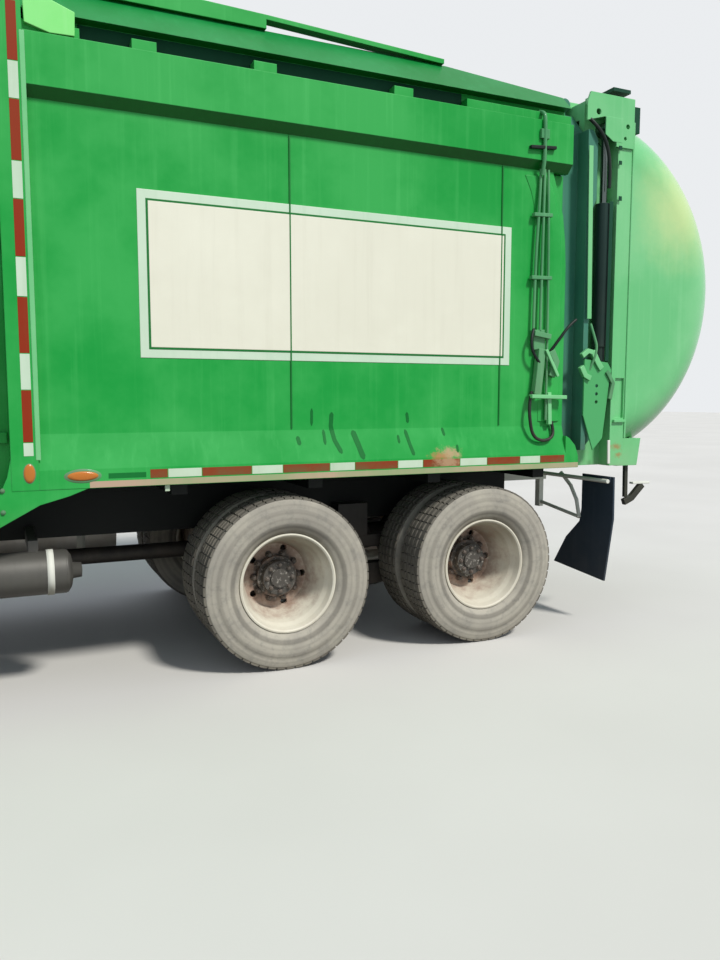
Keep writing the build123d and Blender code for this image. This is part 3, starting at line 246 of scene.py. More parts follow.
# %% [markdown]
# ## Paints and metals
# Every opaque finish is the same recipe: weather for the colour, edges for the rub, and a fine bump.
# Only the numbers change from glossy body paint to oily iron, so one function builds them all from
# tables. The first table has the colours: clean, faded, bare where an edge is rubbed, and the road dust.
# %% Colours of the finishes
DUST = (0.33, 0.27, 0.20)
COLOURS = {  # clean, faded, bare, dust
    "green_paint": ((0.006, 0.345, 0.050), (0.058, 0.485, 0.112), (0.10, 0.54, 0.17), DUST),
    "gate_green": ((0.150, 0.580, 0.225), (0.270, 0.690, 0.330), (0.36, 0.75, 0.42), DUST),
    # The rear frame's green is painted dark: painted shade in its recess between body and tailgate.
    "frame_shade_green": ((0.040, 0.200, 0.140), (0.075, 0.260, 0.180), (0.12, 0.34, 0.20), (0.10, 0.11, 0.08)),
    "old_green": ((0.070, 0.300, 0.125), (0.150, 0.430, 0.200), (0.16, 0.24, 0.17), (0.16, 0.17, 0.12)),
    "muffler_shell": ((0.105, 0.103, 0.095), (0.070, 0.068, 0.062), (0.22, 0.21, 0.20), (0.13, 0.12, 0.10)),
    "frame_paint": ((0.003, 0.005, 0.005), (0.009, 0.011, 0.010), (0.05, 0.045, 0.04), DUST),
    "cab_paint": ((0.74, 0.75, 0.73), (0.66, 0.67, 0.64), (0.50, 0.49, 0.46), DUST),
    "black_plastic": ((0.018, 0.018, 0.019), (0.045, 0.045, 0.045), (0.07, 0.07, 0.07), DUST),
    "flap_rubber": ((0.026, 0.042, 0.062), (0.044, 0.062, 0.084), (0.06, 0.065, 0.07), DUST),
    "steel": ((0.36, 0.35, 0.33), (0.24, 0.22, 0.20), (0.55, 0.54, 0.52), (0.28, 0.20, 0.13)),
    "cast_iron": ((0.020, 0.020, 0.021), (0.045, 0.042, 0.04), (0.10, 0.09, 0.08), DUST),
    "aluminium": ((0.50, 0.49, 0.47), (0.38, 0.36, 0.33), (0.62, 0.61, 0.60), DUST),
    "rod_chrome": ((0.72, 0.72, 0.72), (0.62, 0.62, 0.61), (0.7, 0.7, 0.7), DUST),
    "ram_grey": ((0.004, 0.020, 0.017), (0.014, 0.042, 0.036), (0.20, 0.32, 0.26), DUST),
    "nut_iron": ((0.075, 0.070, 0.062), (0.13, 0.10, 0.085), (0.36, 0.34, 0.31), (0.20, 0.14, 0.11)),
    "hanger_steel": ((0.86, 0.88, 0.81), (0.70, 0.71, 0.65), (0.65, 0.65, 0.62), DUST),
    "sign_white": ((0.900, 0.900, 0.770), (0.82, 0.815, 0.69), (0.75, 0.75, 0.65), (0.66, 0.64, 0.52)),
    "sign_border": ((0.70, 0.86, 0.70), (0.56, 0.76, 0.58), (0.6, 0.7, 0.6), (0.50, 0.56, 0.45)),
    "tape_white": ((0.66, 0.82, 0.66), (0.48, 0.67, 0.48), (0.5, 0.5, 0.45), (0.42, 0.48, 0.28)),
    "tape_red": ((0.300, 0.024, 0.004), (0.270, 0.042, 0.010), (0.3, 0.1, 0.05), (0.165, 0.115, 0.042)),
    "lamp_amber": ((0.62, 0.17, 0.012), (0.50, 0.16, 0.02), (0.6, 0.2, 0.05), (0.36, 0.25, 0.08)),
    "lamp_red": ((0.36, 0.012, 0.010), (0.30, 0.03, 0.02), (0.4, 0.05, 0.04), DUST),
    "lamp_clear": ((0.62, 0.63, 0.63), (0.50, 0.51, 0.50), (0.6, 0.6, 0.6), DUST),
    "seat_cloth": ((0.030, 0.032, 0.038), (0.055, 0.057, 0.065), (0.08, 0.08, 0.09), DUST),
    "seam_dark": ((0.008, 0.160, 0.030), (0.016, 0.22, 0.045), (0.05, 0.25, 0.07), DUST),
    "hose_black": ((0.006, 0.014, 0.012), (0.016, 0.026, 0.022), (0.05, 0.07, 0.06), DUST),
    "scuff_green": ((0.001, 0.150, 0.024), (0.008, 0.210, 0.040), (0.008, 0.20, 0.04), DUST),
    "slot_shade": ((0.001, 0.048, 0.024), (0.003, 0.075, 0.036), (0.01, 0.06, 0.03), DUST),
    "flange_dust": ((0.300, 0.42, 0.205), (0.56, 0.40, 0.29), (0.40, 0.40, 0.25), (0.58, 0.41, 0.31)),
    # The ram rods are chrome painted dark: painted shade, for rods that stand in shade.
    "rod_painted_shade": ((0.16, 0.19, 0.18), (0.10, 0.13, 0.12), (0.3, 0.32, 0.31), DUST),
    # The corner plate's bright lime is painted light: the plate coloured as where the sun falls on it.
    "sunlit_lime_paint": ((0.24, 0.86, 0.22), (0.34, 0.92, 0.32), (0.40, 0.92, 0.40), DUST),
    "mirror_glass": ((0.55, 0.57, 0.58), (0.50, 0.52, 0.53), (0.5, 0.5, 0.5), DUST),
}
print("colours for", len(COLOURS), "finishes")

# %% [markdown]
# The second table has the rest of each finish. Road dust thins out between the heights low and high,
# and amount is how much there is. fading and streaks say how far sun and rain have changed the colour.
# radius and wear belong to the edges, bump is the strength of the grain, and coat is clear varnish.
# %% Surfaces of the finishes
SURFACE_COLUMNS = (
    "low", "high", "amount", "fading", "streaks", "rough", "metal", "radius", "wear", "bump", "coat",
)
SURFACES = {
    "green_paint": (0.70, 1.10, 0.80, 0.65, 0.30, 0.40, 0.0, 0.006, 0.55, 0.05, 0.04),
    "gate_green": (0.90, 1.50, 0.40, 0.60, 0.25, 0.26, 0.0, 0.006, 0.5, 0.03, 0.35),
    "frame_shade_green": (1.0, 2.3, 0.50, 0.65, 0.50, 0.45, 0.0, 0.006, 0.7, 0.10, 0.1),
    "old_green": (1.0, 2.3, 0.60, 0.65, 0.60, 0.45, 0.0, 0.004, 0.8, 0.10, 0.1),
    "muffler_shell": (0.3, 1.0, 0.50, 0.7, 0.3, 0.48, 0.25, 0.004, 0.5, 0.15, 0.0),
    "frame_paint": (0.1, 0.9, 0.16, 0.6, 0.2, 0.60, 0.0, 0.005, 0.3, 0.12, 0.0),
    "cab_paint": (0.9, 1.6, 0.45, 0.5, 0.25, 0.28, 0.0, 0.012, 0.3, 0.03, 0.5),
    "black_plastic": (0.5, 1.5, 0.40, 0.5, 0.3, 0.55, 0.0, 0.006, 0.5, 0.25, 0.0),
    "flap_rubber": (0.0, 0.9, 0.12, 0.5, 0.5, 0.60, 0.0, 0.003, 0.3, 0.30, 0.0),
    "steel": (0.2, 3.9, 0.45, 0.7, 0.6, 0.42, 0.85, 0.005, 0.8, 0.15, 0.0),
    "cast_iron": (0.1, 1.1, 0.30, 0.6, 0.3, 0.60, 0.3, 0.008, 0.4, 0.35, 0.0),
    "aluminium": (0.3, 1.0, 0.60, 0.6, 0.3, 0.38, 0.75, 0.006, 0.5, 0.10, 0.0),
    "rod_chrome": (-2.0, -1.0, 0.0, 0.5, 0.2, 0.12, 1.0, 0.002, 0.0, 0.01, 0.0),
    "ram_grey": (1.3, 2.6, 0.10, 0.6, 0.5, 0.52, 0.0, 0.004, 0.9, 0.10, 0.0),
    "nut_iron": (0.2, 0.9, 0.45, 0.7, 0.2, 0.50, 0.3, 0.002, 0.7, 0.20, 0.0),
    "hanger_steel": (0.3, 1.1, 0.25, 0.6, 0.3, 0.50, 0.0, 0.004, 0.4, 0.10, 0.0),
    "sign_white": (1.8, 2.5, 0.12, 0.6, 0.35, 0.45, 0.0, 0.002, 0.1, 0.03, 0.0),
    "sign_border": (1.8, 2.5, 0.12, 0.6, 0.35, 0.42, 0.0, 0.002, 0.1, 0.03, 0.0),
    "tape_white": (1.1, 1.4, 0.30, 0.5, 0.3, 0.34, 0.0, 0.0002, 0.0, 0.06, 0.1),
    "tape_red": (1.15, 1.29, 1.10, 0.6, 0.3, 0.55, 0.0, 0.0002, 0.0, 0.06, 0.0),
    "lamp_amber": (1.0, 1.5, 0.35, 0.4, 0.2, 0.22, 0.0, 0.003, 0.1, 0.05, 0.4),
    "lamp_red": (0.8, 1.6, 0.25, 0.4, 0.2, 0.16, 0.0, 0.004, 0.1, 0.04, 0.6),
    "lamp_clear": (0.8, 1.6, 0.25, 0.4, 0.2, 0.12, 0.2, 0.006, 0.1, 0.02, 0.8),
    "seat_cloth": (0.5, 1.0, 0.0, 0.5, 0.1, 0.85, 0.0, 0.02, 0.3, 0.15, 0.0),
    "seam_dark": (0.8, 1.2, 0.3, 0.5, 0.4, 0.5, 0.0, 0.001, 0.1, 0.05, 0.0),
    "hose_black": (1.0, 2.0, 0.15, 0.5, 0.3, 0.45, 0.0, 0.003, 0.4, 0.10, 0.0),
    "scuff_green": (0.8, 1.2, 0.1, 0.5, 0.2, 0.5, 0.0, 0.0002, 0.0, 0.05, 0.0),
    "slot_shade": (0.8, 1.2, 0.0, 0.5, 0.2, 0.6, 0.0, 0.001, 0.1, 0.05, 0.0),
    "flange_dust": (0.9, 1.3, 0.75, 1.0, 0.2, 0.6, 0.0, 0.0002, 0.0, 0.05, 0.0),
    "rod_painted_shade": (-2.0, -1.0, 0.0, 0.6, 0.4, 0.22, 1.0, 0.002, 0.0, 0.02, 0.0),
    "sunlit_lime_paint": (0.9, 1.5, 0.20, 0.6, 0.25, 0.36, 0.0, 0.004, 0.4, 0.04, 0.0),
    "mirror_glass": (0.0, 0.1, 0.0, 0.3, 0.1, 0.05, 1.0, 0.001, 0.0, 0.01, 0.0),
}
# Painted shade colours of some finishes, for the faces that look down and up.
PAINTED_FACING_SHADE = {  # colours that multiply the paint on faces that look down, and up
    "green_paint": {"Under Shade": (0.01, 0.26, 0.12), "Top": (0.30, 0.58, 0.66)},
    "gate_green": {"Under Shade": (0.20, 0.40, 0.30)},
    "frame_paint": {"Under Shade": (0.3, 0.3, 0.3)},
}
print("surfaces for", len(SURFACES), "finishes,", len(PAINTED_FACING_SHADE), "of them tinted by which way they face")

# %% [markdown]
# A finish wires the two groups to a Principled BSDF. Dirt makes a surface rougher and hides its metal,
# and weathered paint reflects less than new paint. An extra step may change the colour before it
# reaches the shader, for marks that belong to one finish alone.
# %% A finish from its rows
DULL = 0.22
METAL_SHINE = 0.5
DIRT_ROUGH = 0.75
COAT_ROUGH = 0.12
GRAIN_DEPTH = 0.002


def finish(name, colours, surface, extra=None):
    """A weathered opaque material from its colours and its surface."""
    clean, faded, bare, dust = ((*colour, 1) for colour in colours)
    row = dict(zip(SURFACE_COLUMNS, surface))
    made = bpy.data.materials.new(name)
    made.use_nodes = True
    tree = made.node_tree
    shader = tree.nodes["Principled BSDF"]
    weather = add(tree, "ShaderNodeGroup", {"node_tree": weathering})
    values = {
        "Clean": clean, "Faded": faded, "Dust": dust, "Fading": row["fading"], "Streaks": row["streaks"],
        "Dust Low": row["low"], "Dust High": row["high"], "Dust Amount": row["amount"],
    }
    for label, tint in PAINTED_FACING_SHADE.get(name, {}).items():
        values[label] = (*tint, 1)
    for label, value in values.items():
        weather.inputs[label].default_value = value
    rub = add(tree, "ShaderNodeGroup", {"node_tree": edges}, Radius=row["radius"], Wear=row["wear"])
    colour = blend_colours(tree, rub.outputs["Worn"], weather.outputs["Color"], bare)
    if extra:
        colour = extra(tree, colour)
    plug(tree, shader.inputs["Base Color"], colour)
    rough = maths(tree, "MULTIPLY", weather.outputs["Dirt"], DIRT_ROUGH - row["rough"])
    plug(tree, shader.inputs["Roughness"], maths(tree, "ADD", rough, row["rough"], clamp=True))
    if row["metal"]:
        shown = maths(tree, "SUBTRACT", 1.0, weather.outputs["Dirt"])
        plug(tree, shader.inputs["Metallic"], maths(tree, "MULTIPLY", shown, row["metal"]))
    bump = add(tree, "ShaderNodeBump", Strength=row["bump"], Distance=GRAIN_DEPTH)
    plug(tree, bump.inputs["Height"], weather.outputs["Height"])
    plug(tree, bump.inputs["Normal"], rub.outputs["Normal"])
    plug(tree, shader.inputs["Normal"], bump.outputs[0])
    shader.inputs["Specular IOR Level"].default_value = METAL_SHINE if row["metal"] else DULL
    shader.inputs["Coat Weight"].default_value = row["coat"]
    shader.inputs["Coat Roughness"].default_value = COAT_ROUGH
    return made


# %% [markdown]
# ## Marks of their own
# Some finishes have marks that the shared recipe doesn't know. The frame of the rear is painted dark
# as the shade in its recess, while its outermost plates are body green. The shoulders of the dome get a
# painted highlight where the sun's reflection falls, and a few stains of rust and earth stay where they
# are on the real truck. All of them fold the right side onto the left, so one place serves both.
# %% Plates, painted highlight and stains
PLATE_GREEN = (0.085, 0.43, 0.150, 1)
PLATE_FACE_Y = (1.2085, 1.2105)
# The dome's painted highlight: its colour, centre, reach and strength.
DOME_HIGHLIGHT_COLOUR = (0.76, 0.84, 0.38, 1)
DOME_HIGHLIGHT_SPOT = (-2.285, 1.13, 2.95)  # station, y, height
DOME_HIGHLIGHT_REACH = 0.56
DOME_HIGHLIGHT_SHARE = 0.66
STAIN_SQUASH = 1.8  # a stain is this much wider than it is high
STAIN_CORE = 0.2  # share of its reach where a stain is whole
STAIN_RAGGED = 2.4  # how far noise moves a stain's edge, in reaches


def mirrored(tree, squash=1.0):
    """The place on the truck with its right side folded onto the left, and its heights scaled."""
    split = add(tree, "ShaderNodeSeparateXYZ", Vector=object_place(tree))
    out = maths(tree, "ABSOLUTE", split.outputs["Y"])
    up = maths(tree, "MULTIPLY", split.outputs["Z"], squash)
    return add(tree, "ShaderNodeCombineXYZ", X=split.outputs["X"], Y=out, Z=up).outputs[0]


def outer_plates(tree, colour):
    """Body green on the plates that stand furthest out, on a frame painted dark as the shade of its recess.
    """
    out = add(tree, "ShaderNodeSeparateXYZ", Vector=mirrored(tree)).outputs["Y"]
    return blend_colours(tree, stretch(tree, out, *PLATE_FACE_Y), colour, PLATE_GREEN)


def dome_painted_highlight(tree, colour):
    """A painted highlight: a pale yellowish patch on each shoulder of the dome, where the sun's reflection
    falls.
    """
    s, y, z = DOME_HIGHLIGHT_SPOT
    away = vector_maths(tree, "DISTANCE", mirrored(tree), (at(s), y, z))
    away = maths(tree, "ADD", away, ragged(tree, object_place(tree), 4.0, 0.35))
    return blend_colours(tree, stretch(tree, away, 0.0, DOME_HIGHLIGHT_REACH, DOME_HIGHLIGHT_SHARE, 0.0), colour, DOME_HIGHLIGHT_COLOUR)


def stained(*spots):
    """Ragged stains on both sides, from rows of (station, y, height, reach, share, colour)."""
    def stains(tree, colour):
        place = mirrored(tree, STAIN_SQUASH)
        rough_edge = ragged(tree, object_place(tree), 26.0, 1.0, 0.75)
        for s, y, z, reach, share, shade in spots:
            away = vector_maths(tree, "DISTANCE", place, (at(s), y, z * STAIN_SQUASH))
            away = maths(tree, "ADD", away, maths(tree, "MULTIPLY", rough_edge, reach * STAIN_RAGGED))
            cover = stretch(tree, away, reach * STAIN_CORE, reach, share, 0.0)
            colour = blend_colours(tree, cover, colour, (*shade, 1))
        return colour
    return stains


RUST = (0.40, 0.21, 0.075)
EARTH = (0.50, 0.34, 0.20)
EXTRAS = {
    "frame_shade_green": outer_plates,
    "green_paint": stained(
        (-0.375, 1.210, 1.262, 0.110, 0.90, EARTH), (-0.300, 1.210, 1.250, 0.085, 0.85, RUST),
    ),
    "gate_green": stained(
        (-1.738, 1.220, 1.275, 0.065, 0.80, RUST), (-1.766, 1.220, 1.218, 0.055, 0.75, RUST),
    ),
    "tape_red": stained((-0.360, 1.221, 1.215, 0.130, 0.85, EARTH)),
}
paints = {name: finish(name, COLOURS[name], SURFACES[name], EXTRAS.get(name)) for name in COLOURS}
# The dome's paint carries a painted highlight on its shoulders.
paints["dome_green"] = finish("dome_green", COLOURS["gate_green"], SURFACES["gate_green"], dome_painted_highlight)
print("finishes", len(paints))

# %% [markdown]
# ## Wheels and rubber
# The rims are white, with dark grease on the hub and pink-brown brake dust round it, so their dirt
# depends on the distance from the axle. The tyres are beige-grey with road dust, and painted shade
# darkens the moulded rings of the wall. One group measures that distance, from a centre that each axle
# gives.
# %% Reach from the axle
reach_group, enter, leave = new_group(
    "Reach from axle", [("Centre", "NodeSocketVector", (0, 0, 0))], [("Reach", "NodeSocketFloat")]
)
away = vector_maths(reach_group, "SUBTRACT", object_place(reach_group), enter.outputs["Centre"])
flat = vector_maths(reach_group, "MULTIPLY", away, (1, 0, 1))
plug(reach_group, leave.inputs["Reach"], vector_maths(reach_group, "LENGTH", flat))


def reach_of(tree, centre_s):
    """The distance from the axle at a station, seen along the axle."""
    made = add(tree, "ShaderNodeGroup", {"node_tree": reach_group}, Centre=(at(centre_s), 0, TYRE_R))
    return made.outputs["Reach"]


print("group", reach_group.name)

# %% [markdown]
# On a wheel the reach is made ragged by noise before it is used, so that dust and grease end in an
# uneven line. The grease has paler specks in it.
# %% Wheel finishes
WHEEL_COLOURS = ((0.80, 0.78, 0.67), (0.66, 0.62, 0.52), (0.45, 0.34, 0.24), (0.50, 0.42, 0.31))
WHEEL_SURFACE = (0.0, 0.95, 0.35, 0.7, 0.2, 0.45, 0.0, 0.004, 0.4, 0.10, 0.0)
BRAKE_DUST = (0.34, 0.215, 0.165, 1)
GREASE = (0.085, 0.078, 0.070, 1)
GREASE_SPECKS = (0.36, 0.34, 0.31, 1)
DUST_REACH = (0.16, 0.27)
GREASE_REACH = (0.115, 0.185)


def wheel_finish(name, centre_s):
    """White wheel paint, dusty round the hub of the axle at a station and greasy on it."""
    def hub(tree, colour):
        place = object_place(tree)
        reach = maths(tree, "ADD", reach_of(tree, centre_s), ragged(tree, place, 11.0, 0.20))
        specks = stretch(tree, noise(tree, place, 48.0, 3.0, 0.7), 0.55, 0.68)
        grease = blend_colours(tree, specks, GREASE, GREASE_SPECKS)
        colour = blend_colours(tree, stretch(tree, reach, *DUST_REACH, 0.90, 0.0), colour, BRAKE_DUST)
        return blend_colours(tree, stretch(tree, reach, *GREASE_REACH, 1.0, 0.0), colour, grease)
    return finish(name, WHEEL_COLOURS, WHEEL_SURFACE, hub)


wheel_paint = {axle: wheel_finish(f"wheel_paint_{axle}", s) for axle, s in AXLE_STATIONS.items()}
print("wheel finishes", len(wheel_paint))

# %% [markdown]
# A tyre's wall is worn dark in small spots and pale with dust in large ones, and the mould's rings
# are darkened by painted shade. Its tread is another rubber, cleaner on top because it rolls.
# %% Tyre finishes
TYRE_COLOURS = ((0.330, 0.310, 0.272), (0.420, 0.394, 0.344), (0.46, 0.43, 0.37), (0.540, 0.505, 0.425))
TYRE_SURFACE = (-0.6, 2.2, 0.95, 0.6, 0.1, 0.85, 0.0, 0.002, 0.5, 0.45, 0.0)
TREAD_COLOURS = ((0.090, 0.085, 0.075), (0.165, 0.152, 0.132), (0.38, 0.35, 0.29), (0.38, 0.35, 0.285))
TREAD_SURFACE = (-0.6, 1.9, 0.80, 0.6, 0.1, 0.85, 0.0, 0.002, 0.6, 0.40, 0.0)
WORN_RUBBER = (0.245, 0.238, 0.218, 1)
PALE_DUST = (0.520, 0.490, 0.410, 1)
RING_PAINTED_SHADE = (0.060, 0.056, 0.050, 1)
TYRE_RINGS = (  # radius, half width, share of the dark ring
    (0.350, 0.014, 0.46), (0.392, 0.006, 0.12), (0.434, 0.013, 0.24), (0.474, 0.005, 0.12),
    (0.515, 0.010, 0.34),
)


def tyre_finish(name, centre_s):
    """Dusty tyre rubber, with painted shade in the rings that the mould leaves on the wall."""
    def rings(tree, colour):
        place = object_place(tree)
        worn = stretch(tree, noise(tree, place, 22.0, 5.0, 0.72), 0.44, 0.68, 0.0, 0.55)
        colour = blend_colours(tree, worn, colour, WORN_RUBBER)
        pale = stretch(tree, noise(tree, place, 5.0, 4.0, 0.6), 0.46, 0.72, 0.0, 0.60)
        colour = blend_colours(tree, pale, colour, PALE_DUST)
        reach = reach_of(tree, centre_s)
        for radius, half, share in TYRE_RINGS:
            off = maths(tree, "ABSOLUTE", maths(tree, "SUBTRACT", reach, radius))
            ring = stretch(tree, off, half * 0.5, half * 1.6, share, 0.0)
            colour = blend_colours(tree, ring, colour, RING_PAINTED_SHADE)
        return colour
    return finish(name, TYRE_COLOURS, TYRE_SURFACE, rings)


tyre_wall = {axle: tyre_finish(f"tyre_wall_{axle}", s) for axle, s in AXLE_STATIONS.items()}
tread_rubber = finish("tread_rubber", TREAD_COLOURS, TREAD_SURFACE)
print("tyre finishes", len(tyre_wall) + 1)

# %% [markdown]
# ## Glass
# The windows are real panes, so light must pass. A thin tint, a little roughness from dust, and a
# plain Transmission do that.
# %% Glass
GLASS_TINT = (0.62, 0.70, 0.68, 1)
FILM = (0.01, 0.05)  # roughness where the pane is clean, and where it is dusty
glass = bpy.data.materials.new("window_glass")
glass.use_nodes = True
tree = glass.node_tree
shader = tree.nodes["Principled BSDF"]
shader.inputs["Base Color"].default_value = GLASS_TINT
shader.inputs["Transmission Weight"].default_value = 0.92
shader.inputs["IOR"].default_value = 1.2
dust_film = stretch(tree, noise(tree, object_place(tree), 3.0, 5.0), 0.35, 0.75, *FILM)
plug(tree, shader.inputs["Roughness"], dust_film)
print("glass", glass.name)

# %% [markdown]
# ## Finishes on the solids
# A solid whose shape is right stays in view. Its mesh isn't touched: only its material slot gets the
# finish that its record names, with a few nodes given a finish of their own.
# %% Dress the CAD nodes
# rear_frame takes its green painted dark, as painted shade in its recess.
OWN_FINISH = {
    "tailgate_dome": "dome_green", "tailgate_frame": "gate_green", "rear_frame": "frame_shade_green",
    # ram_rods take chrome painted dark, as painted shade.
    "ram_barrels": "ram_grey", "ram_rods": "rod_painted_shade", "flap_hangers": "hanger_steel",
    "lift_barrels": "ram_grey", "fork_barrels": "ram_grey", "side_muffler": "muffler_shell",
}
slot_of = {part["node"]: part["material_slot"] for part in frame["record"]["subparts"]}
for name, solid in nodes.items():
    if name.startswith(("drive_wheels_", "steer_wheel_")):
        coat = wheel_paint[axle_of(name)]
    elif slot_of[name] == "tyre":
        coat = tyre_wall[axle_of(name)]
    elif slot_of[name] == "glass":
        coat = glass
    else:
        coat = paints[OWN_FINISH.get(name, slot_of[name])]
    solid.data.materials.clear()
    solid.data.materials.append(coat)
print("dressed", len(nodes), "solids")

# %% [markdown]
# ## Making pieces
# New pieces are meshes built point by point, with their place in the mesh and the object at the
# origin. mount() gives a piece its finish and lets it ride on the body that carries it. A narrow Bevel
# modifier takes the knife edge off.
# %% Mesh helpers
MERGE_DISTANCE = 1e-6
BEVEL_ANGLE = radians(40)
FINE_BEVEL = 0.002
BAR_BEVEL = 0.003


def mesh_piece(name, points, faces, smooth=False):
    """A mesh object from corners and faces, with its normals turned outwards."""
    mesh = bpy.data.meshes.new(name)
    mesh.from_pydata([tuple(p) for p in points], [], faces)
    shape = bmesh.new()
    shape.from_mesh(mesh)
    bmesh.ops.remove_doubles(shape, verts=shape.verts, dist=MERGE_DISTANCE)
    bmesh.ops.recalc_face_normals(shape, faces=shape.faces)
    shape.to_mesh(mesh)
    shape.free()
    for face in mesh.polygons:
        face.use_smooth = smooth
    made = bpy.data.objects.new(name, mesh)
    bpy.context.scene.collection.objects.link(made)
    return made


def mount(piece, body, coat, bevel=0.0):
    """Gives a piece its finish and fixes it to the body that carries it."""
    piece.data.materials.clear()
    piece.data.materials.append(coat)
    if bevel:
        soften = piece.modifiers.new("Bevel", "BEVEL")
        soften.width = bevel
        soften.segments = 2
        soften.limit_method = "ANGLE"
        soften.angle_limit = BEVEL_ANGLE
    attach(piece, body)
    return piece


def join_meshes(name, parts, smooth=False):
    """One object from several lists of (points, faces)."""
    points, faces = [], []
    for part_points, part_faces in parts:
        faces += [tuple(i + len(points) for i in face) for face in part_faces]
        points += part_points
    return mesh_piece(name, points, faces, smooth)


def build(name, parts, body, coat, bevel=0.0, smooth=False):
    """One piece from its parts, in a paint of the table, on the body that carries it."""
    return mount(join_meshes(name, parts, smooth), body, paints[coat], bevel)


print("mesh helpers ready")

# %% [markdown]
# The parts themselves come from a few shapes: a block, a flat plate, a ribbon along a route, a profile
# spun round an axis, and a pipe along a curve. Each gives points and faces, so that several can be
# joined into one piece before it becomes an object.
# %% Shapes
def block(x, y, z):
    """The points and faces of a box between two limits along each axis."""
    points = [(px, py, pz) for px in x for py in y for pz in z]
    faces = [(0, 1, 3, 2), (4, 6, 7, 5), (0, 4, 5, 1), (2, 3, 7, 6), (0, 2, 6, 4), (1, 5, 7, 3)]
    return points, faces


def side_block(side, stations, y, heights):
    """A block between two stations, on one side of the truck."""
    return block(tuple(at(s) for s in stations), pair(side, *y), heights)


def plate(outline, y):
    """A flat plate from an outline of (x, z) points, between two y."""
    count = len(outline)
    points = [(px, y[0], pz) for px, pz in outline] + [(px, y[1], pz) for px, pz in outline]
    faces = [tuple(range(count)), tuple(range(2 * count - 1, count - 1, -1))]
    faces += [(i, (i + 1) % count, count + (i + 1) % count, count + i) for i in range(count)]
    return points, faces


def skin_of(rings):
    """The points and faces of a closed skin over rings of equal length, with its ends capped."""
    count = len(rings[0])
    points = [point for ring in rings for point in ring]
    faces = [tuple(range(count)), tuple(range(len(points) - 1, len(points) - count - 1, -1))]
    for i in range(len(rings) - 1):
        for j in range(count):
            a, b = i * count + j, i * count + (j + 1) % count
            faces.append((a, b, b + count, a + count))
    return points, faces


def ribbon(route, width, low_y, high_y, side, tip=1.0):
    """A flat bar along (station, height) points, between two y or functions of the height."""
    def depth(limit, z):
        return side * (limit(z) if callable(limit) else limit)
    rings = []
    for i, (s, z) in enumerate(route):
        before, after = route[max(i - 1, 0)], route[min(i + 1, len(route) - 1)]
        along = Vector((after[0] - before[0], after[1] - before[1])).normalized()
        half = width / 2 * (tip if i in (0, len(route) - 1) else 1.0)
        left = (s - along[1] * half, z + along[0] * half)
        right = (s + along[1] * half, z - along[0] * half)
        corners = ((left, high_y), (right, high_y), (right, low_y), (left, low_y))
        rings.append([(at(edge_s), depth(limit, edge_z), edge_z) for (edge_s, edge_z), limit in corners])
    return skin_of(rings)


def spun(profile, centre, axis, steps, closed=False):
    """A profile of (along, radius) points turned about an axis through a centre."""
    points, faces = [], []
    for step in range(steps):
        angle = 2 * pi * step / steps
        for along, radius in profile:
            a, b = radius * cos(angle), radius * sin(angle)
            offset = {"X": (along, a, b), "Y": (a, along, b), "Z": (a, b, along)}[axis]
            points.append(tuple(c + o for c, o in zip(centre, offset)))
    count = len(profile)
    last = count if closed else count - 1
    for step in range(steps):
        here, there = step * count, (step + 1) % steps * count
        for i in range(last):
            j = (i + 1) % count
            faces.append((here + i, here + j, there + j, there + i))
    return points, faces


PIPE_ROUNDNESS = 3
PIPE_STEPS = 6


def tube(name, route, radius, coat, body):
    """A pipe along a smooth path that some points lead, turned into a plain mesh."""
    curve = bpy.data.curves.new(name, "CURVE")
    curve.dimensions = "3D"
    curve.bevel_depth = radius
    curve.bevel_resolution = PIPE_ROUNDNESS
    curve.use_fill_caps = True
    spline = curve.splines.new("NURBS")
    spline.points.add(len(route) - 1)
    for point, place in zip(spline.points, route):
        point.co = (*place, 1)
    spline.order_u = min(3, len(route))
    spline.use_endpoint_u = True
    spline.resolution_u = PIPE_STEPS
    drawn = bpy.data.objects.new(name + "_path", curve)
    bpy.context.scene.collection.objects.link(drawn)
    bpy.context.view_layer.update()
    mesh = bpy.data.meshes.new_from_object(drawn.evaluated_get(bpy.context.evaluated_depsgraph_get()))
    bpy.data.objects.remove(drawn)
    made = bpy.data.objects.new(name, mesh)
    bpy.context.scene.collection.objects.link(made)
    for face in mesh.polygons:
        face.use_smooth = True
    return mount(made, body, coat)


print("shapes ready")

# %% [markdown]
# ## Repeats by Geometry Nodes
# Nuts stand in a ring and bolts in a row, so two small trees make them all. Each takes the one shape
# to repeat, puts copies on the points of a circle or a line, and realizes them. The result becomes a
# plain mesh, and the modifier goes away.
# %% Ring and row trees
def geometry_group(name, inputs):
    """An empty geometry tree with named inputs."""
    tree = bpy.data.node_groups.new(name, "GeometryNodeTree")
    for label, kind in inputs:
        tree.interface.new_socket(name=label, in_out="INPUT", socket_type=kind)
    tree.interface.new_socket(name="Geometry", in_out="OUTPUT", socket_type="NodeSocketGeometry")
    return tree, tree.nodes.new("NodeGroupInput"), tree.nodes.new("NodeGroupOutput")


def close_tree(tree, enter, leave, placed):
    """Ends a geometry tree: real copies, then their material."""
    real = add(tree, "GeometryNodeRealizeInstances", Geometry=placed)
    coated = add(tree, "GeometryNodeSetMaterial", Geometry=real.outputs[0])
    plug(tree, coated.inputs["Material"], enter.outputs["Material"])
    plug(tree, leave.inputs["Geometry"], coated.outputs[0])


def original(tree, item):
    """The shape of the object that is to be repeated."""
    found = add(tree, "GeometryNodeObjectInfo", {"transform_space": "ORIGINAL"}, Object=item)
    return found.outputs["Geometry"]


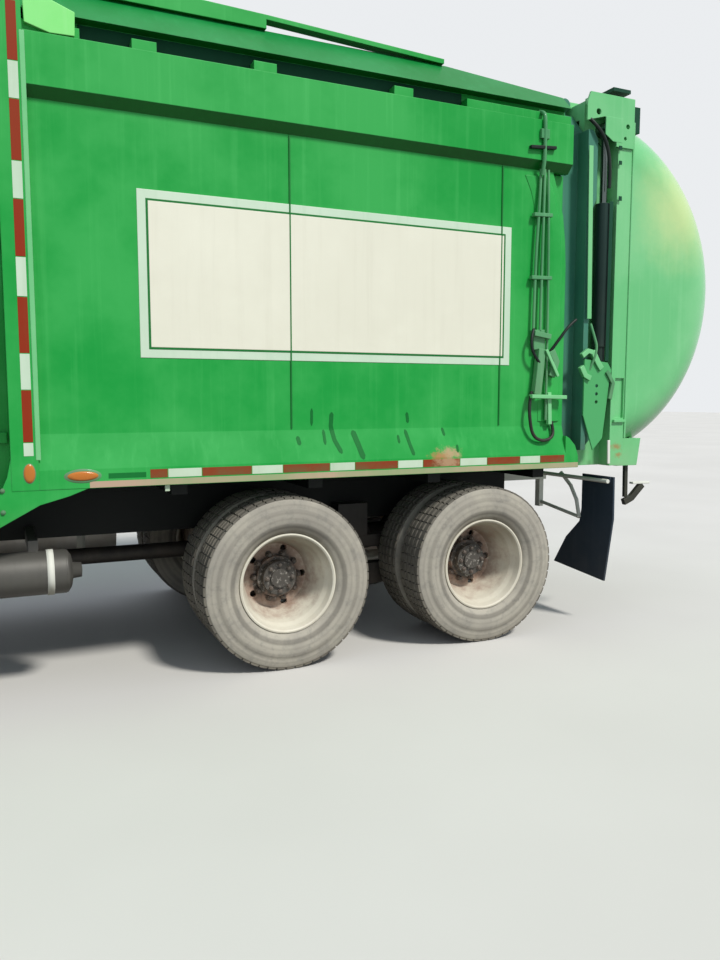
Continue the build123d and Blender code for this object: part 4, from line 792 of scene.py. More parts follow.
ring_tree, enter, leave = geometry_group("Ring of copies", [
    ("Item", "NodeSocketObject"), ("Count", "NodeSocketInt"), ("Radius", "NodeSocketFloat"),
    ("Centre", "NodeSocketVector"), ("Turn", "NodeSocketRotation"), ("Material", "NodeSocketMaterial"),
])
count = enter.outputs["Count"]
circle = add(ring_tree, "GeometryNodeMeshCircle", Vertices=count, Radius=enter.outputs["Radius"])
index = add(ring_tree, "GeometryNodeInputIndex").outputs[0]
step = maths(ring_tree, "DIVIDE", 2 * pi, count)
spin = add(ring_tree, "ShaderNodeCombineXYZ", Z=maths(ring_tree, "MULTIPLY", index, step))
copies = add(ring_tree, "GeometryNodeInstanceOnPoints", Points=circle.outputs[0], Rotation=spin.outputs[0])
plug(ring_tree, copies.inputs["Instance"], original(ring_tree, enter.outputs["Item"]))
moved = add(ring_tree, "GeometryNodeTransform", Geometry=copies.outputs[0], Rotation=enter.outputs["Turn"])
plug(ring_tree, moved.inputs["Translation"], enter.outputs["Centre"])
close_tree(ring_tree, enter, leave, moved.outputs[0])

row_tree, enter, leave = geometry_group("Row of copies", [
    ("Item", "NodeSocketObject"), ("Count", "NodeSocketInt"), ("Start", "NodeSocketVector"),
    ("Stop", "NodeSocketVector"), ("Material", "NodeSocketMaterial"),
])
line = add(row_tree, "GeometryNodeMeshLine", {"mode": "END_POINTS"}, Count=enter.outputs["Count"])
plug(row_tree, line.inputs["Start Location"], enter.outputs["Start"])
plug(row_tree, line.inputs["Offset"], enter.outputs["Stop"])
copies = add(row_tree, "GeometryNodeInstanceOnPoints", Points=line.outputs[0])
plug(row_tree, copies.inputs["Instance"], original(row_tree, enter.outputs["Item"]))
close_tree(row_tree, enter, leave, copies.outputs[0])
print("geometry trees", ring_tree.name, "and", row_tree.name)

# %% [markdown]
# A tree needs an object to run on. grown() lends it an empty one, takes the finished mesh, and throws
# the modifier away, so that nothing live is left on the piece.
# %% Running a tree
def grown(tree, name, **values):
    """Runs a geometry tree once and returns its result as a plain mesh object."""
    holder = bpy.data.objects.new(name, bpy.data.meshes.new(name + "_start"))
    bpy.context.scene.collection.objects.link(holder)
    modifier = holder.modifiers.new("Nodes", "NODES")
    modifier.node_group = tree
    sockets = {s.name: s.identifier for s in tree.interface.items_tree if s.in_out == "INPUT"}
    for label, value in values.items():
        modifier[sockets[label]] = value
    bpy.context.view_layer.update()
    mesh = bpy.data.meshes.new_from_object(holder.evaluated_get(bpy.context.evaluated_depsgraph_get()))
    holder.modifiers.remove(modifier)
    holder.data = mesh
    mesh.name = name
    return holder


def merged(name, parts):
    """Joins finished mesh objects into one."""
    shape = bmesh.new()
    for part in parts:
        shape.from_mesh(part.data)
        bpy.data.objects.remove(part)
    mesh = bpy.data.meshes.new(name)
    shape.to_mesh(mesh)
    shape.free()
    made = bpy.data.objects.new(name, mesh)
    bpy.context.scene.collection.objects.link(made)
    return made


print("trees can be run")

# %% [markdown]
# ## Tyres
# A truck tyre is a turned shape with a bulging wall and a rounded shoulder, and its tread is a few
# hundred like blocks. So the carcass is spun from a profile, and the ring tree sets the blocks on it,
# one ring for each rib. They replace the plain rings of the CAD, inside the same size.
# %% Tyre carcass and tread
WALL_PROFILE = (  # share of half width, radius
    (0.63, 0.288), (0.66, 0.301), (0.74, 0.306), (0.85, 0.322), (0.925, 0.345), (0.955, 0.352),
    (0.962, 0.360), (0.990, 0.380), (1.000, 0.402), (0.992, 0.424), (0.985, 0.428), (0.985, 0.434),
    (0.970, 0.438), (0.945, 0.456), (0.935, 0.462), (0.935, 0.470), (0.905, 0.480), (0.885, 0.498),
    (0.850, 0.506), (0.40, 0.5075),
)
BLOCKS_AROUND = 56
BLOCK_DEPTH = 0.016
BLOCK_LEAN = 0.004
BLOCK_CURVE = 0.0012
BLOCK_FILL = 0.84  # share of the pitch that a block takes
TYRE_STEPS = 96
RIBS = (  # place across and half width, as shares of the tyre's half width, and drop at the shoulder
    (-0.72, 0.14375, 0.0035), (-0.355, 0.135, 0.0), (0.0, 0.135, 0.0), (0.355, 0.135, 0.0),
    (0.72, 0.14375, 0.0035),
)


def tread_block(name, half_width, depth):
    """One tread block at the origin, its top curved like the tyre and its sides drawn in."""
    long = pi * TYRE_R / BLOCKS_AROUND * BLOCK_FILL
    edge = half_width - BLOCK_LEAN
    foot = ((-long, -half_width), (long, -half_width), (long, half_width), (-long, half_width))
    base = [(-depth, along, across) for along, across in foot]
    top = [
        (-BLOCK_CURVE, -long, -edge), (0.0, 0, -edge), (-BLOCK_CURVE, long, -edge),
        (-BLOCK_CURVE, long, edge), (0.0, 0, edge), (-BLOCK_CURVE, -long, edge),
    ]
    faces = [
        (0, 4, 5, 6, 1), (1, 6, 7, 2), (2, 7, 8, 9, 3), (3, 9, 4, 0), (4, 9, 8, 5), (5, 8, 7, 6),
        (0, 1, 2, 3),
    ]
    return mesh_piece(name, base + top, faces)


def tyre(name, s, y, width):
    """Carcass and tread of one tyre, as two plain meshes."""
    half = width / 2
    wall = [(share * half, radius) for share, radius in WALL_PROFILE]
    profile = wall + [(-along, radius) for along, radius in reversed(wall)]
    shape = spun(profile, (at(s), y, TYRE_R), "Y", TYRE_STEPS, closed=True)
    carcass = mesh_piece(name + "_carcass", *shape, smooth=True)
    rings = []
    for share, rib_half, drop in RIBS:
        item = tread_block("block", rib_half * half, BLOCK_DEPTH)
        rings.append(grown(
            ring_tree, name + "_rib", Item=item, Count=BLOCKS_AROUND, Radius=TYRE_R - drop,
            Centre=(at(s), y + share * half, TYRE_R), Turn=(pi / 2, 0, 0), Material=tread_rubber,
        ))
        bpy.data.objects.remove(item)
    return carcass, merged(name + "_tread", rings)


print("tread blocks on a tyre", BLOCKS_AROUND * len(RIBS))

TWIN_Y = (1.068, 0.734)
DRIVE_TYRE_WIDTH = 0.279
STEER_Y = 1.040
STEER_TYRE_WIDTH = 0.300


def fit_tyres(node, body, tyres):
    """Replaces a node's plain tyres by full ones on the same body."""
    made = [tyre(f"{node}_{i}", *numbers) for i, numbers in enumerate(tyres)]
    walls = merged(node + "_walls", [carcass for carcass, _ in made])
    for face in walls.data.polygons:
        face.use_smooth = True
    treads = merged(node + "_treads", [tread for _, tread in made])
    mount(walls, body, tyre_wall[axle_of(node)])
    mount(treads, body, tread_rubber)
    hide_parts(node)
    return len(walls.data.polygons) + len(treads.data.polygons)


faces_made = 0
for side_name, side in SIDES:
    for axle, s in DRIVE_AXLES:
        twins = [(s, side * y, DRIVE_TYRE_WIDTH) for y in TWIN_Y]
        faces_made += fit_tyres(f"drive_tyres_{axle}_{side_name}", f"drive_pair_{axle}_{side_name}", twins)
    single = [(STEER_S, side * STEER_Y, STEER_TYRE_WIDTH)]
    faces_made += fit_tyres(f"steer_tyre_{side_name}", f"steer_pair_{side_name}", single)
print("faces of the tyres", faces_made)

# %% [markdown]
# ## Wheel nuts and hubs
# A steel disc wheel hangs on ten studs round a pilot hub, and a drive axle's shaft ends in a flange
# with its own ring of bolts. Each nut is a six-sided prism with a stud through it. The ring tree turns
# one into ten.
# %% Nuts and hub flanges
def hex_nut(name, radius, height, stud_radius, stud_height):
    """A hexagonal nut on a washer, with a stud end, standing on the XY plane at the origin."""
    washer_r = radius * 1.18
    washer_h = height * 0.2
    washer = [(0, 0.0), (0, washer_r), (washer_h, washer_r), (washer_h, 0.0)]
    nut = [(0, 0.0), (0, radius), (height, radius), (height * 1.15, radius * 0.8), (height * 1.15, 0.0)]
    stud = [(0, 0.0), (0, stud_radius), (stud_height, stud_radius), (stud_height * 1.04, 0.0)]
    turned_parts = ((washer, 12), (nut, 6), (stud, 8))
    return join_meshes(name, [spun(profile, (0, 0, 0), "Z", sides) for profile, sides in turned_parts])


WHEEL_NUT = (0.0185, 0.026, 0.011, 0.040)  # radius, height, stud radius, stud height
FLANGE_BOLT = (0.013, 0.014, 0.007, 0.020)
STUDS = 10
STUD_CIRCLE_R = 0.1429
FLANGE_CIRCLE_R = 0.081
WHEEL_ENDS = (  # axle, disc face and flange face from the middle line, flange bolts
    ("front", 0.913, 1.002, 8), ("rear", 0.913, 1.002, 8), ("steer", 1.162, 1.2, 0),
)


def nut_ring(sizes, count, radius, centre, side):
    """A ring of nuts round an axle, facing out from its side of the truck."""
    item = hex_nut("nut", *sizes)
    ring = grown(
        ring_tree, "nuts", Item=item, Count=count, Radius=radius, Centre=centre,
        Turn=(-side * pi / 2, 0, 0), Material=paints["nut_iron"],
    )
    bpy.data.objects.remove(item)
    return ring


for side_name, side in SIDES:
    for axle, face_y, flange_y, bolts in WHEEL_ENDS:
        x = at(AXLE_STATIONS[axle])
        made = [nut_ring(WHEEL_NUT, STUDS, STUD_CIRCLE_R, (x, side * face_y, TYRE_R), side)]
        if bolts:
            made.append(nut_ring(FLANGE_BOLT, bolts, FLANGE_CIRCLE_R, (x, side * flange_y, TYRE_R), side))
        body = f"steer_pair_{side_name}" if axle == "steer" else f"drive_pair_{axle}_{side_name}"
        mount(merged(f"wheel_nuts_{axle}_{side_name}", made), body, paints["nut_iron"])
print("wheel ends with nuts", len(WHEEL_ENDS), "a side")

# %% [markdown]
# ## Reflective tape
# The marking tape is red and white by turns: along the bottom flange, and up the posts behind the
# hopper. Its strips were cut by hand, so an even pattern wouldn't fit them. Each is a thin block of its
# own length, which also gives it an edge.
# %% Tape strips
FLANGE_TAPE = (  # stations of the strips' ends, red first
    1.485, 1.389, 1.203, 0.917, 0.732, 0.439, 0.277, -0.012, -0.187, -0.456, -0.659, -0.917, -1.079, -1.280,
)
POST_TAPE = (  # heights of the strips' ends, white first
    1.320, 1.390, 1.655, 1.837, 2.116, 2.310, 2.588, 2.769, 3.060, 3.237, 3.515, 3.690,
)
FLANGE_TAPE_Z = (1.187, 1.233)
POST_TAPE_S = (2.062, 2.108)
TAPE_SINK = 0.001
TAPE_PROUD = 0.0012
TAPE_GAP = 0.002
FLANGE_DUST = (  # stations, y, heights
    (-1.396, 1.795), (HALF_WIDTH - TAPE_SINK, HALF_WIDTH + 0.0008), (1.147, 1.180),
)
for side_name, side in SIDES:
    y = pair(side, HALF_WIDTH - TAPE_SINK, HALF_WIDTH + TAPE_PROUD)
    post_x = tuple(at(s) for s in POST_TAPE_S)
    strips = {"red": [], "white": []}
    for i, (front, rear) in enumerate(zip(FLANGE_TAPE, FLANGE_TAPE[1:])):
        x = (at(rear) + TAPE_GAP, at(front) - TAPE_GAP)
        strips["red" if i % 2 == 0 else "white"].append(block(x, y, FLANGE_TAPE_Z))
    for i, (low, high) in enumerate(zip(POST_TAPE, POST_TAPE[1:])):
        z = (low + TAPE_GAP, high - TAPE_GAP)
        strips["white" if i % 2 == 0 else "red"].append(block(post_x, y, z))
    for colour, parts in strips.items():
        build(f"tape_{colour}_{side_name}", parts, "chassis", f"tape_{colour}")
    build(f"flange_dust_{side_name}", [side_block(side, *FLANGE_DUST)], "chassis", "flange_dust")
print("tape strips", len(FLANGE_TAPE) + len(POST_TAPE) - 2, "a side")

# %% [markdown]
# ## The sign
# A thin white panel is fixed to the side wall, with a pale rim and a thin green line inside the rim. A
# mask in the paint could draw it, but three thin layers give it a real edge that catches the light.
# %% Sign panel
SIGN_S = (-0.850, 1.510)
SIGN_Z = (1.830, 2.710)
RIM = 0.045
LINE = 0.012
SINK = 0.002
SIGN_LAYERS = (  # piece, inset from the edge, how far out it stands, finish
    ("sign_rim", 0.0, 0.003, "sign_border"), ("sign_line", RIM, 0.0042, "seam_dark"),
    ("sign_field", RIM + LINE, 0.0054, "sign_white"),
)
for side_name, side in SIDES:
    for name, inset, proud, coat in SIGN_LAYERS:
        x = (at(SIGN_S[0]) + inset, at(SIGN_S[1]) - inset)
        z = (SIGN_Z[0] + inset, SIGN_Z[1] - inset)
        panel = block(x, pair(side, WALL_Y - SINK, WALL_Y + proud), z)
        build(f"{name}_{side_name}", [panel], "chassis", coat, bevel=FINE_BEVEL)
print("sign layers", len(SIGN_LAYERS), "a side")

# %% [markdown]
# ## Seams on the side wall
# The wall is three sheets, and the joints show as thin dark lines with a weld bead. A strip only a few
# millimetres proud is enough to catch them.
# %% Wall seams
SEAMS = (0.660, -0.775)
SEAM_HALF = 0.004
SEAM_PROUD = 0.0065
SEAM_Z = (1.440, 3.085)
for side_name, side in SIDES:
    y = pair(side, WALL_Y - SINK, WALL_Y + SEAM_PROUD)
    parts = [block((at(s) - SEAM_HALF, at(s) + SEAM_HALF), y, SEAM_Z) for s in SEAMS]
    build(f"wall_seams_{side_name}", parts, "chassis", "seam_dark")
print("seams", len(SEAMS), "a side")

# %% [markdown]
# ## Markers
# A round amber reflector sits at the foot of the post, and an oval amber lamp in a bezel ahead of the
# tape. Between lamp and tape a strip of older, darker paint shows where something was taken off. A lens
# could be a flattened sphere, but four rings give it a steep rim and a flat top with fewer faces.
# %% Reflector and marker lamp
DOME_RINGS = ((1.0, 0.0), (1.0, 0.35), (0.92, 0.75), (0.6, 0.95))  # share of the size, share of the rise


def lens(centre, half_x, half_z, side, proud, steps=32):
    """A shallow domed oval lens on the side of the truck."""
    x, y, z = centre
    points, faces = [], []
    for share, rise in DOME_RINGS:
        for step in range(steps):
            angle = 2 * pi * step / steps
            points.append((
                x + half_x * share * cos(angle), y + side * proud * rise, z + half_z * share * sin(angle),
            ))
    for ring in range(len(DOME_RINGS) - 1):
        for step in range(steps):
            a, b = ring * steps + step, ring * steps + (step + 1) % steps
            faces.append((a, b, b + steps, a + steps))
    points.append((x, y + side * proud, z))
    last = (len(DOME_RINGS) - 1) * steps
    faces += [(last + step, last + (step + 1) % steps, len(points) - 1) for step in range(steps)]
    faces.append(tuple(range(steps)))
    return points, faces


LENS_SINK = 0.006
MARKERS = (  # piece, finish, slot, then (station, height, half length, half height, rise) of each lens
    ("marker_lenses", "lamp_amber", "lamp_clear",
     (2.085, 1.232, 0.028, 0.050, 0.012), (1.828, 1.210, 0.080, 0.026, 0.014)),
    ("marker_bezels", "old_green", "green_paint",
     (1.828, 1.210, 0.100, 0.040, 0.009), (2.085, 1.232, 0.034, 0.057, 0.008)),
)
OLD_PAINT = (  # stations, y, heights
    (1.505, 1.700), (HALF_WIDTH - SINK, HALF_WIDTH + 0.0006), (1.192, 1.220),
)
for side_name, side in SIDES:
    y = side * (HALF_WIDTH - LENS_SINK)
    for name, coat, slot, *lenses in MARKERS:
        parts = [lens((at(s), y, z), half_x, half_z, side, rise) for s, z, half_x, half_z, rise in lenses]
        build(f"{name}_{side_name}", parts, "chassis", coat, smooth=True)
    build(f"marker_slot_{side_name}", [side_block(side, *OLD_PAINT)], "chassis", "scuff_green")
print("marker pieces", len(MARKERS) + 1, "a side")

# %% [markdown]
# ## Scuffs
# Bins and branches have scored the low wall and the skirt down to old paint. Each scuff is a thin
# tapered ribbon that follows the wall and then the slope of the skirt. A mask in the paint could show
# them too, but strokes in a table are easier to place one by one.
# %% Scuffs on the wall and skirt
SKIRT_TOP_Z = 1.430
SKIRT_FOOT_Z = 1.245
SCUFF_SINK = -0.003
SCUFF_PROUD = 0.0016
SCUFF_STEPS = 6
SCUFF_TIP = 0.3  # a scuff's width at its ends, as a share


def side_skin(z, proud=0.0):
    """How far out the body's side is at a height."""
    down = min(max((SKIRT_TOP_Z - z) / (SKIRT_TOP_Z - SKIRT_FOOT_Z), 0.0), 1.0)
    return WALL_Y + (HALF_WIDTH - WALL_Y) * down + proud


def under_scuff(z):
    """Where a scuff's ribbon starts, just inside the paint."""
    return side_skin(z, SCUFF_SINK)


def over_scuff(z):
    """Where a scuff's ribbon ends, just outside the paint."""
    return side_skin(z, SCUFF_PROUD)


def finely(route, steps):
    """The same route with each stretch cut into steps."""
    fine = []
    for a, b in zip(route, route[1:]):
        fine += [(a[0] + (b[0] - a[0]) * k / steps, a[1] + (b[1] - a[1]) * k / steps) for k in range(steps)]
    return fine + [route[-1]]


SCUFFS = (  # width, then (station, height) down the stroke
    (0.016, (0.534, 1.555), (0.535, 1.454)),
    (0.026, (0.407, 1.532), (0.413, 1.452), (0.396, 1.367), (0.356, 1.288)),
    (0.018, (0.462, 1.430), (0.457, 1.341)),
    (0.024, (0.629, 1.394), (0.617, 1.342)),
    (0.034, (0.274, 1.422), (0.248, 1.347), (0.216, 1.250)),
    (0.020, (-0.096, 1.529), (-0.105, 1.463)),
    (0.022, (-0.082, 1.422), (-0.107, 1.328), (-0.128, 1.263)),
    (0.016, (-0.029, 1.390), (-0.035, 1.339)),
    (0.018, (-0.347, 1.430), (-0.361, 1.379)),
    (0.016, (-0.444, 1.322), (-0.444, 1.272)),
)
for side_name, side in SIDES:
    parts = [
        ribbon(finely(route, SCUFF_STEPS), width, under_scuff, over_scuff, side, SCUFF_TIP)
        for width, *route in SCUFFS
    ]
    build(f"scuffs_{side_name}", parts, "chassis", "scuff_green")
print("scuffs", len(SCUFFS), "a side")

# %% [markdown]
# ## Corner post, roof slots and small plates
# The wall ends at the rear in a rolled post that curves forward under the rail. The gap between rail
# and roof lies in deep shade, as it opens onto the closed-in top of the body, so a dark block there is
# painted shade. At the front a plate closes the corner over the rail, painted bright as painted
# sunlight, and a pale strip down the edge behind the striped post is a painted highlight. The rolled
# post is one section set at seven heights and skinned, because its width changes as it curves.
# %% Corner posts and slot shade
POST_CURVE = (  # height, front edge, rear edge
    (3.050, -0.948, -1.168), (2.950, -0.998, -1.220), (2.810, -1.040, -1.262), (2.650, -1.069, -1.279),
    (2.360, -1.086, -1.288), (2.100, -1.086, -1.289), (1.460, -1.086, -1.289),
)
POST_SECTION = (  # share of the way from the front edge to the rear edge, y
    (0.0, 1.168), (0.0, 1.173), (0.2, 1.180), (0.5, 1.184), (0.8, 1.178), (0.95, 1.160), (1.0, 1.125),
    (0.97, 1.122), (0.9, 1.150),
)
CORNER_PLATE = (  # station, height
    (2.031, 3.526), (1.896, 3.552), (1.791, 3.514), (1.795, 3.400), (1.912, 3.396), (2.027, 3.428),
)
CORNER_PLATE_Y = (1.176, 1.214)
# A dark block in the gap between rail and roof: painted shade.
SLOT_SHADE = ((-0.493, 1.772), (1.118, 1.1225), (3.394, 3.497))  # stations, y, heights
# A pale strip down the post's edge: a painted highlight where the edge catches the light.
POST_EDGE_HIGHLIGHT = ((2.028, 2.052), (HALF_WIDTH - 0.001, HALF_WIDTH + 0.001), (1.300, 3.385))
for side_name, side in SIDES:
    rings = [
        [(at(front + (rear - front) * share), side * y, z) for share, y in POST_SECTION]
        for z, front, rear in POST_CURVE
    ]
    build(f"corner_post_{side_name}", [skin_of(rings)], "chassis", "green_paint", bevel=FINE_BEVEL)
    build(f"slot_shade_{side_name}", [side_block(side, *SLOT_SHADE)], "chassis", "slot_shade")
    # Painted light: the corner plate is coloured bright, as where the sun falls on it.
    painted_lit_plate = plate([(at(s), z) for s, z in CORNER_PLATE], pair(side, *CORNER_PLATE_Y))
    build(f"corner_plate_{side_name}", [painted_lit_plate], "chassis", "sunlit_lime_paint", bevel=BAR_BEVEL)
    build(f"post_edge_{side_name}", [side_block(side, *POST_EDGE_HIGHLIGHT)], "chassis", "gate_green")
print("corner posts, slots, plates and edges made")

# %% [markdown]
# ## Pipes and latches at the rear
# Hydraulic pipes run over the rail and down the corner post to the latch that holds the tailgate shut,
# and black hoses loop between them. On the tailgate's side there are hooks, a hose to the ram, and
# dark strips of painted shade in its gaps and holes. Pipes are smooth paths turned into meshes, and the
# linkages are flat bars.
# %% Pipes and hoses
PIPES = (  # name, body, finish, radius, (station, y, height)...
    ("pipe_front", "chassis", "old_green", 0.010,
     (-1.052, 1.199, 3.09), (-1.042, 1.199, 2.80), (-1.022, 1.199, 2.50), (-1.017, 1.199, 2.06)),
    ("pipe_middle", "chassis", "old_green", 0.010,
     (-1.080, 1.200, 3.09), (-1.078, 1.200, 2.70), (-1.072, 1.200, 2.40), (-1.070, 1.200, 2.06)),
    ("pipe_rear", "chassis", "old_green", 0.009,
     (-1.110, 1.200, 3.09), (-1.122, 1.200, 2.70), (-1.129, 1.200, 2.26), (-1.130, 1.200, 1.80),
     (-1.130, 1.200, 1.47)),
    ("rail_conduit", "chassis", "old_green", 0.013,
     (-1.052, 1.170, 3.455), (-1.052, 1.215, 3.44), (-1.052, 1.234, 3.40), (-1.052, 1.234, 3.25),
     (-1.052, 1.234, 3.13), (-1.054, 1.210, 3.05)),
    ("latch_hose", "chassis", "hose_black", 0.011,
     (-1.008, 1.205, 1.66), (-0.985, 1.215, 1.58), (-0.986, 1.222, 1.48), (-1.010, 1.222, 1.37),
     (-1.080, 1.222, 1.33), (-1.170, 1.218, 1.345), (-1.200, 1.200, 1.40), (-1.185, 1.190, 1.46)),
    ("latch_whip", "chassis", "hose_black", 0.010,
     (-1.160, 1.200, 1.93), (-1.200, 1.220, 1.99), (-1.250, 1.230, 2.06), (-1.300, 1.230, 2.11),
     (-1.345, 1.225, 2.14)),
    ("latch_coil", "chassis", "hose_black", 0.010,
     (-1.020, 1.200, 2.07), (-0.985, 1.225, 2.02), (-0.985, 1.230, 1.93), (-1.040, 1.226, 1.86),
     (-1.085, 1.205, 1.83)),
    ("ram_hose", "tailgate", "hose_black", 0.012,
     (-1.425, 1.205, 3.46), (-1.470, 1.232, 3.41), (-1.535, 1.234, 3.34), (-1.575, 1.234, 3.25),
     (-1.590, 1.234, 3.12), (-1.590, 1.228, 3.02)),
    ("gate_whip", "tailgate", "old_green", 0.009,
     (-1.485, 1.205, 2.12), (-1.505, 1.230, 2.02), (-1.520, 1.236, 1.96), (-1.500, 1.236, 1.88),
     (-1.475, 1.210, 1.80)),
)


def on_side(side, route):
    """The points of a route of (station, y, height), on one side of the truck."""
    return [(at(s), side * y, z) for s, y, z in route]


for side_name, side in SIDES:
    for name, body, coat, radius, *route in PIPES:
        tube(f"{name}_{side_name}", on_side(side, route), radius, paints[coat], body)
print("pipes and hoses", len(PIPES), "a side")

# %% [markdown]
# The latch, the clamps, the hooks on the gate and the handle under it are all flat bars, straight or
# bent. A ribbon along a few points gives each its width, and its depth lies between two y. Bars of
# one piece, body and finish are joined.
# %% Latches, hooks and small bars
BARS = (  # piece, body, finish, width, low y, high y, (station, height)...
    ("latch", "chassis", "old_green", 0.090, 1.170, 1.206, (-1.060, 2.065), (-1.065, 1.935)),
    ("latch", "chassis", "old_green", 0.055, 1.184, 1.226, (-1.075, 1.940), (-1.062, 1.790), (-1.045, 1.640)),
    ("latch", "chassis", "old_green", 0.050, 1.184, 1.218, (-1.160, 1.930), (-1.200, 1.860), (-1.165, 1.760)),
    ("latch", "chassis", "old_green", 0.034, 1.196, 1.232, (-1.010, 2.040), (-1.140, 2.020)),
    ("latch_light", "chassis", "gate_green", 0.026, 1.200, 1.240, (-0.990, 1.628), (-1.275, 1.622)),
    ("latch_light", "chassis", "gate_green", 0.030, 1.184, 1.214, (-1.150, 1.655), (-1.160, 1.440)),
    ("latch_light", "chassis", "gate_green", 0.022, 1.226, 1.240, (-1.100, 1.935), (-1.200, 1.760)),
    ("clamps", "chassis", "hose_black", 0.020, 1.220, 1.246, (-0.940, 3.207), (-1.138, 3.222)),
    ("clamps", "chassis", "old_green", 0.060, 1.218, 1.240, (-1.020, 3.300), (-1.085, 3.300)),
    ("clamps", "chassis", "old_green", 0.024, 1.180, 1.212, (-1.000, 2.800), (-1.145, 2.806)),
    ("clamps", "chassis", "old_green", 0.024, 1.180, 1.212, (-0.990, 2.400), (-1.150, 2.404)),
    ("gate_hooks", "tailgate", "gate_green", 0.034, 1.210, 1.238,
     (-1.400, 1.900), (-1.450, 1.935), (-1.490, 1.925)),
    ("gate_hooks", "tailgate", "gate_green", 0.042, 1.208, 1.236,
     (-1.490, 1.935), (-1.535, 1.860), (-1.570, 1.815)),
    ("gate_hooks", "tailgate", "gate_green", 0.038, 1.210, 1.238,
     (-1.395, 1.830), (-1.430, 1.770), (-1.475, 1.750)),
    ("gate_hooks", "tailgate", "old_green", 0.030, 1.212, 1.234,
     (-1.620, 1.800), (-1.675, 1.720), (-1.650, 1.610)),
    # A pale strip on the flange's outer face: body paint made pale as painted light, where the sun falls.
    ("gate_strips", "chassis", "gate_green", 0.036, 1.220, 1.2235, (-1.436, 3.280), (-1.458, 2.150)),
    # Thin dark strips and spots on the tailgate: painted shade in its gaps and holes.
    ("gate_caps", "tailgate", "slot_shade", 0.030, 1.2185, 1.2205, (-1.622, 2.940), (-1.622, 1.870)),
    ("gate_caps", "tailgate", "slot_shade", 0.024, 1.095, 1.217, (-1.614, 3.668), (-1.762, 3.668)),
    ("gate_caps", "tailgate", "slot_shade", 0.070, 1.120, 1.192, (-1.838, 3.590), (-1.838, 3.420)),
    ("gate_caps", "tailgate", "slot_shade", 0.026, 1.219, 1.2225, (-1.672, 3.296), (-1.698, 3.296)),
    ("gate_caps", "tailgate", "slot_shade", 0.026, 1.219, 1.2225, (-1.674, 3.199), (-1.700, 3.199)),
    ("gate_caps", "tailgate", "slot_shade", 0.030, 1.219, 1.2225, (-1.682, 2.965), (-1.708, 2.965)),
    ("gate_lip", "tailgate", "gate_green", 0.020, 1.200, 1.224, (-1.700, 1.457), (-1.800, 1.457)),
    ("gate_hooks", "tailgate", "hanger_steel", 0.022, 1.2195, 1.230, (-1.655, 1.325), (-1.660, 1.160)),
    ("sump_handle", "tailgate", "hose_black", 0.030, 1.085, 1.110, (-1.930, 1.140), (-1.935, 0.900)),
    ("sump_handle", "tailgate", "hose_black", 0.045, 1.080, 1.115,
     (-1.920, 0.862), (-1.990, 0.890), (-2.090, 0.985)),
    ("sump_handle", "tailgate", "hanger_steel", 0.016, 1.078, 1.117, (-1.990, 1.000), (-2.150, 0.998)),
    ("flange_tab", "chassis", "tape_white", 0.026, 1.196, 1.2, (1.390, 1.145), (1.390, 1.108)),
)


def gathered(rows):
    """The numbers of all rows that share a piece, a body and a finish, in the order of the table."""
    pieces = {}
    for name, body, coat, *numbers in rows:
        pieces.setdefault((name, body, coat), []).append(numbers)
    return pieces.items()


for side_name, side in SIDES:
    for (name, body, coat), bars in gathered(BARS):
        parts = [ribbon(route, width, low_y, high_y, side) for width, low_y, high_y, *route in bars]
        build(f"{name}_{coat}_{side_name}", parts, body, coat, bevel=BAR_BEVEL)
print("bars", len(BARS), "a side")

# %% [markdown]
# ## The cab's outside
# A flat-faced cab gets its look from small things: rubber round each window, a visor, wipers, lamps in
# dark bezels, grab handles and mirror glass. Frames follow the slope of the face, and what sits on a
# door rides on that door.
# %% Window rubbers
FACE_S = 6.400
FACE_FOOT_Z = 1.750
FACE_SLOPE = 0.110 / 0.950
CAB_SIDE_Y = 0.910
RUBBER_LAP = 0.006
RUBBER_WIDTH = {"screen": 0.028, "side": 0.022}
SCREEN = (0.800, (1.800, 2.600))  # half width, heights
DOOR_GLASS = ((5.410, 6.040), (1.830, 2.500))  # stations, heights
QUARTER_GLASS = ((4.790, 5.210), (1.900, 2.500))


def cab_face(z):
    """The station of the cab's sloping front at a height."""
    return FACE_S - (z - FACE_FOOT_Z) * FACE_SLOPE


def corners(across, up, grow):
    """The four corners of a rectangle, each moved out by grow."""
    a0, a1 = across[0] - grow, across[1] + grow
    b0, b1 = up[0] - grow, up[1] + grow
    return (a0, b0), (a1, b0), (a1, b1), (a0, b1)


def framed(outer, inner, push):
    """A closed frame between two loops of four corners, as thick as push."""
    back = [[tuple(c + p for c, p in zip(point, push)) for point in loop] for loop in (outer, inner)]
    faces = []
    for i in range(4):
        j = (i + 1) % 4
        faces += [(i, j, 4 + j, 4 + i), (8 + i, 8 + j, 12 + j, 12 + i)]
        faces += [(i, j, 8 + j, 8 + i), (4 + i, 4 + j, 12 + j, 12 + i)]
    return outer + inner + back[0] + back[1], faces


def side_frame(side, s, z, sink=0.004, proud=0.006):
    """A rubber round a window on the side of the cab."""
    y = side * (CAB_SIDE_Y - sink)
    loops = [
        [(at(a), y, b) for a, b in corners(s, z, grow)] for grow in (RUBBER_WIDTH["side"], -RUBBER_LAP)
    ]
    return framed(*loops, (0, side * (proud + sink), 0))


def front_frame(half_width, z, sink=0.006, proud=0.008):
    """A rubber round the windscreen, on the sloping front of the cab."""
    loops = []
    for grow in (RUBBER_WIDTH["screen"], -RUBBER_LAP):
        spots = corners((-half_width, half_width), z, grow)
        loops.append([(at(cab_face(b) - sink), a, b) for a, b in spots])
    return framed(*loops, (proud + sink, 0, 0))


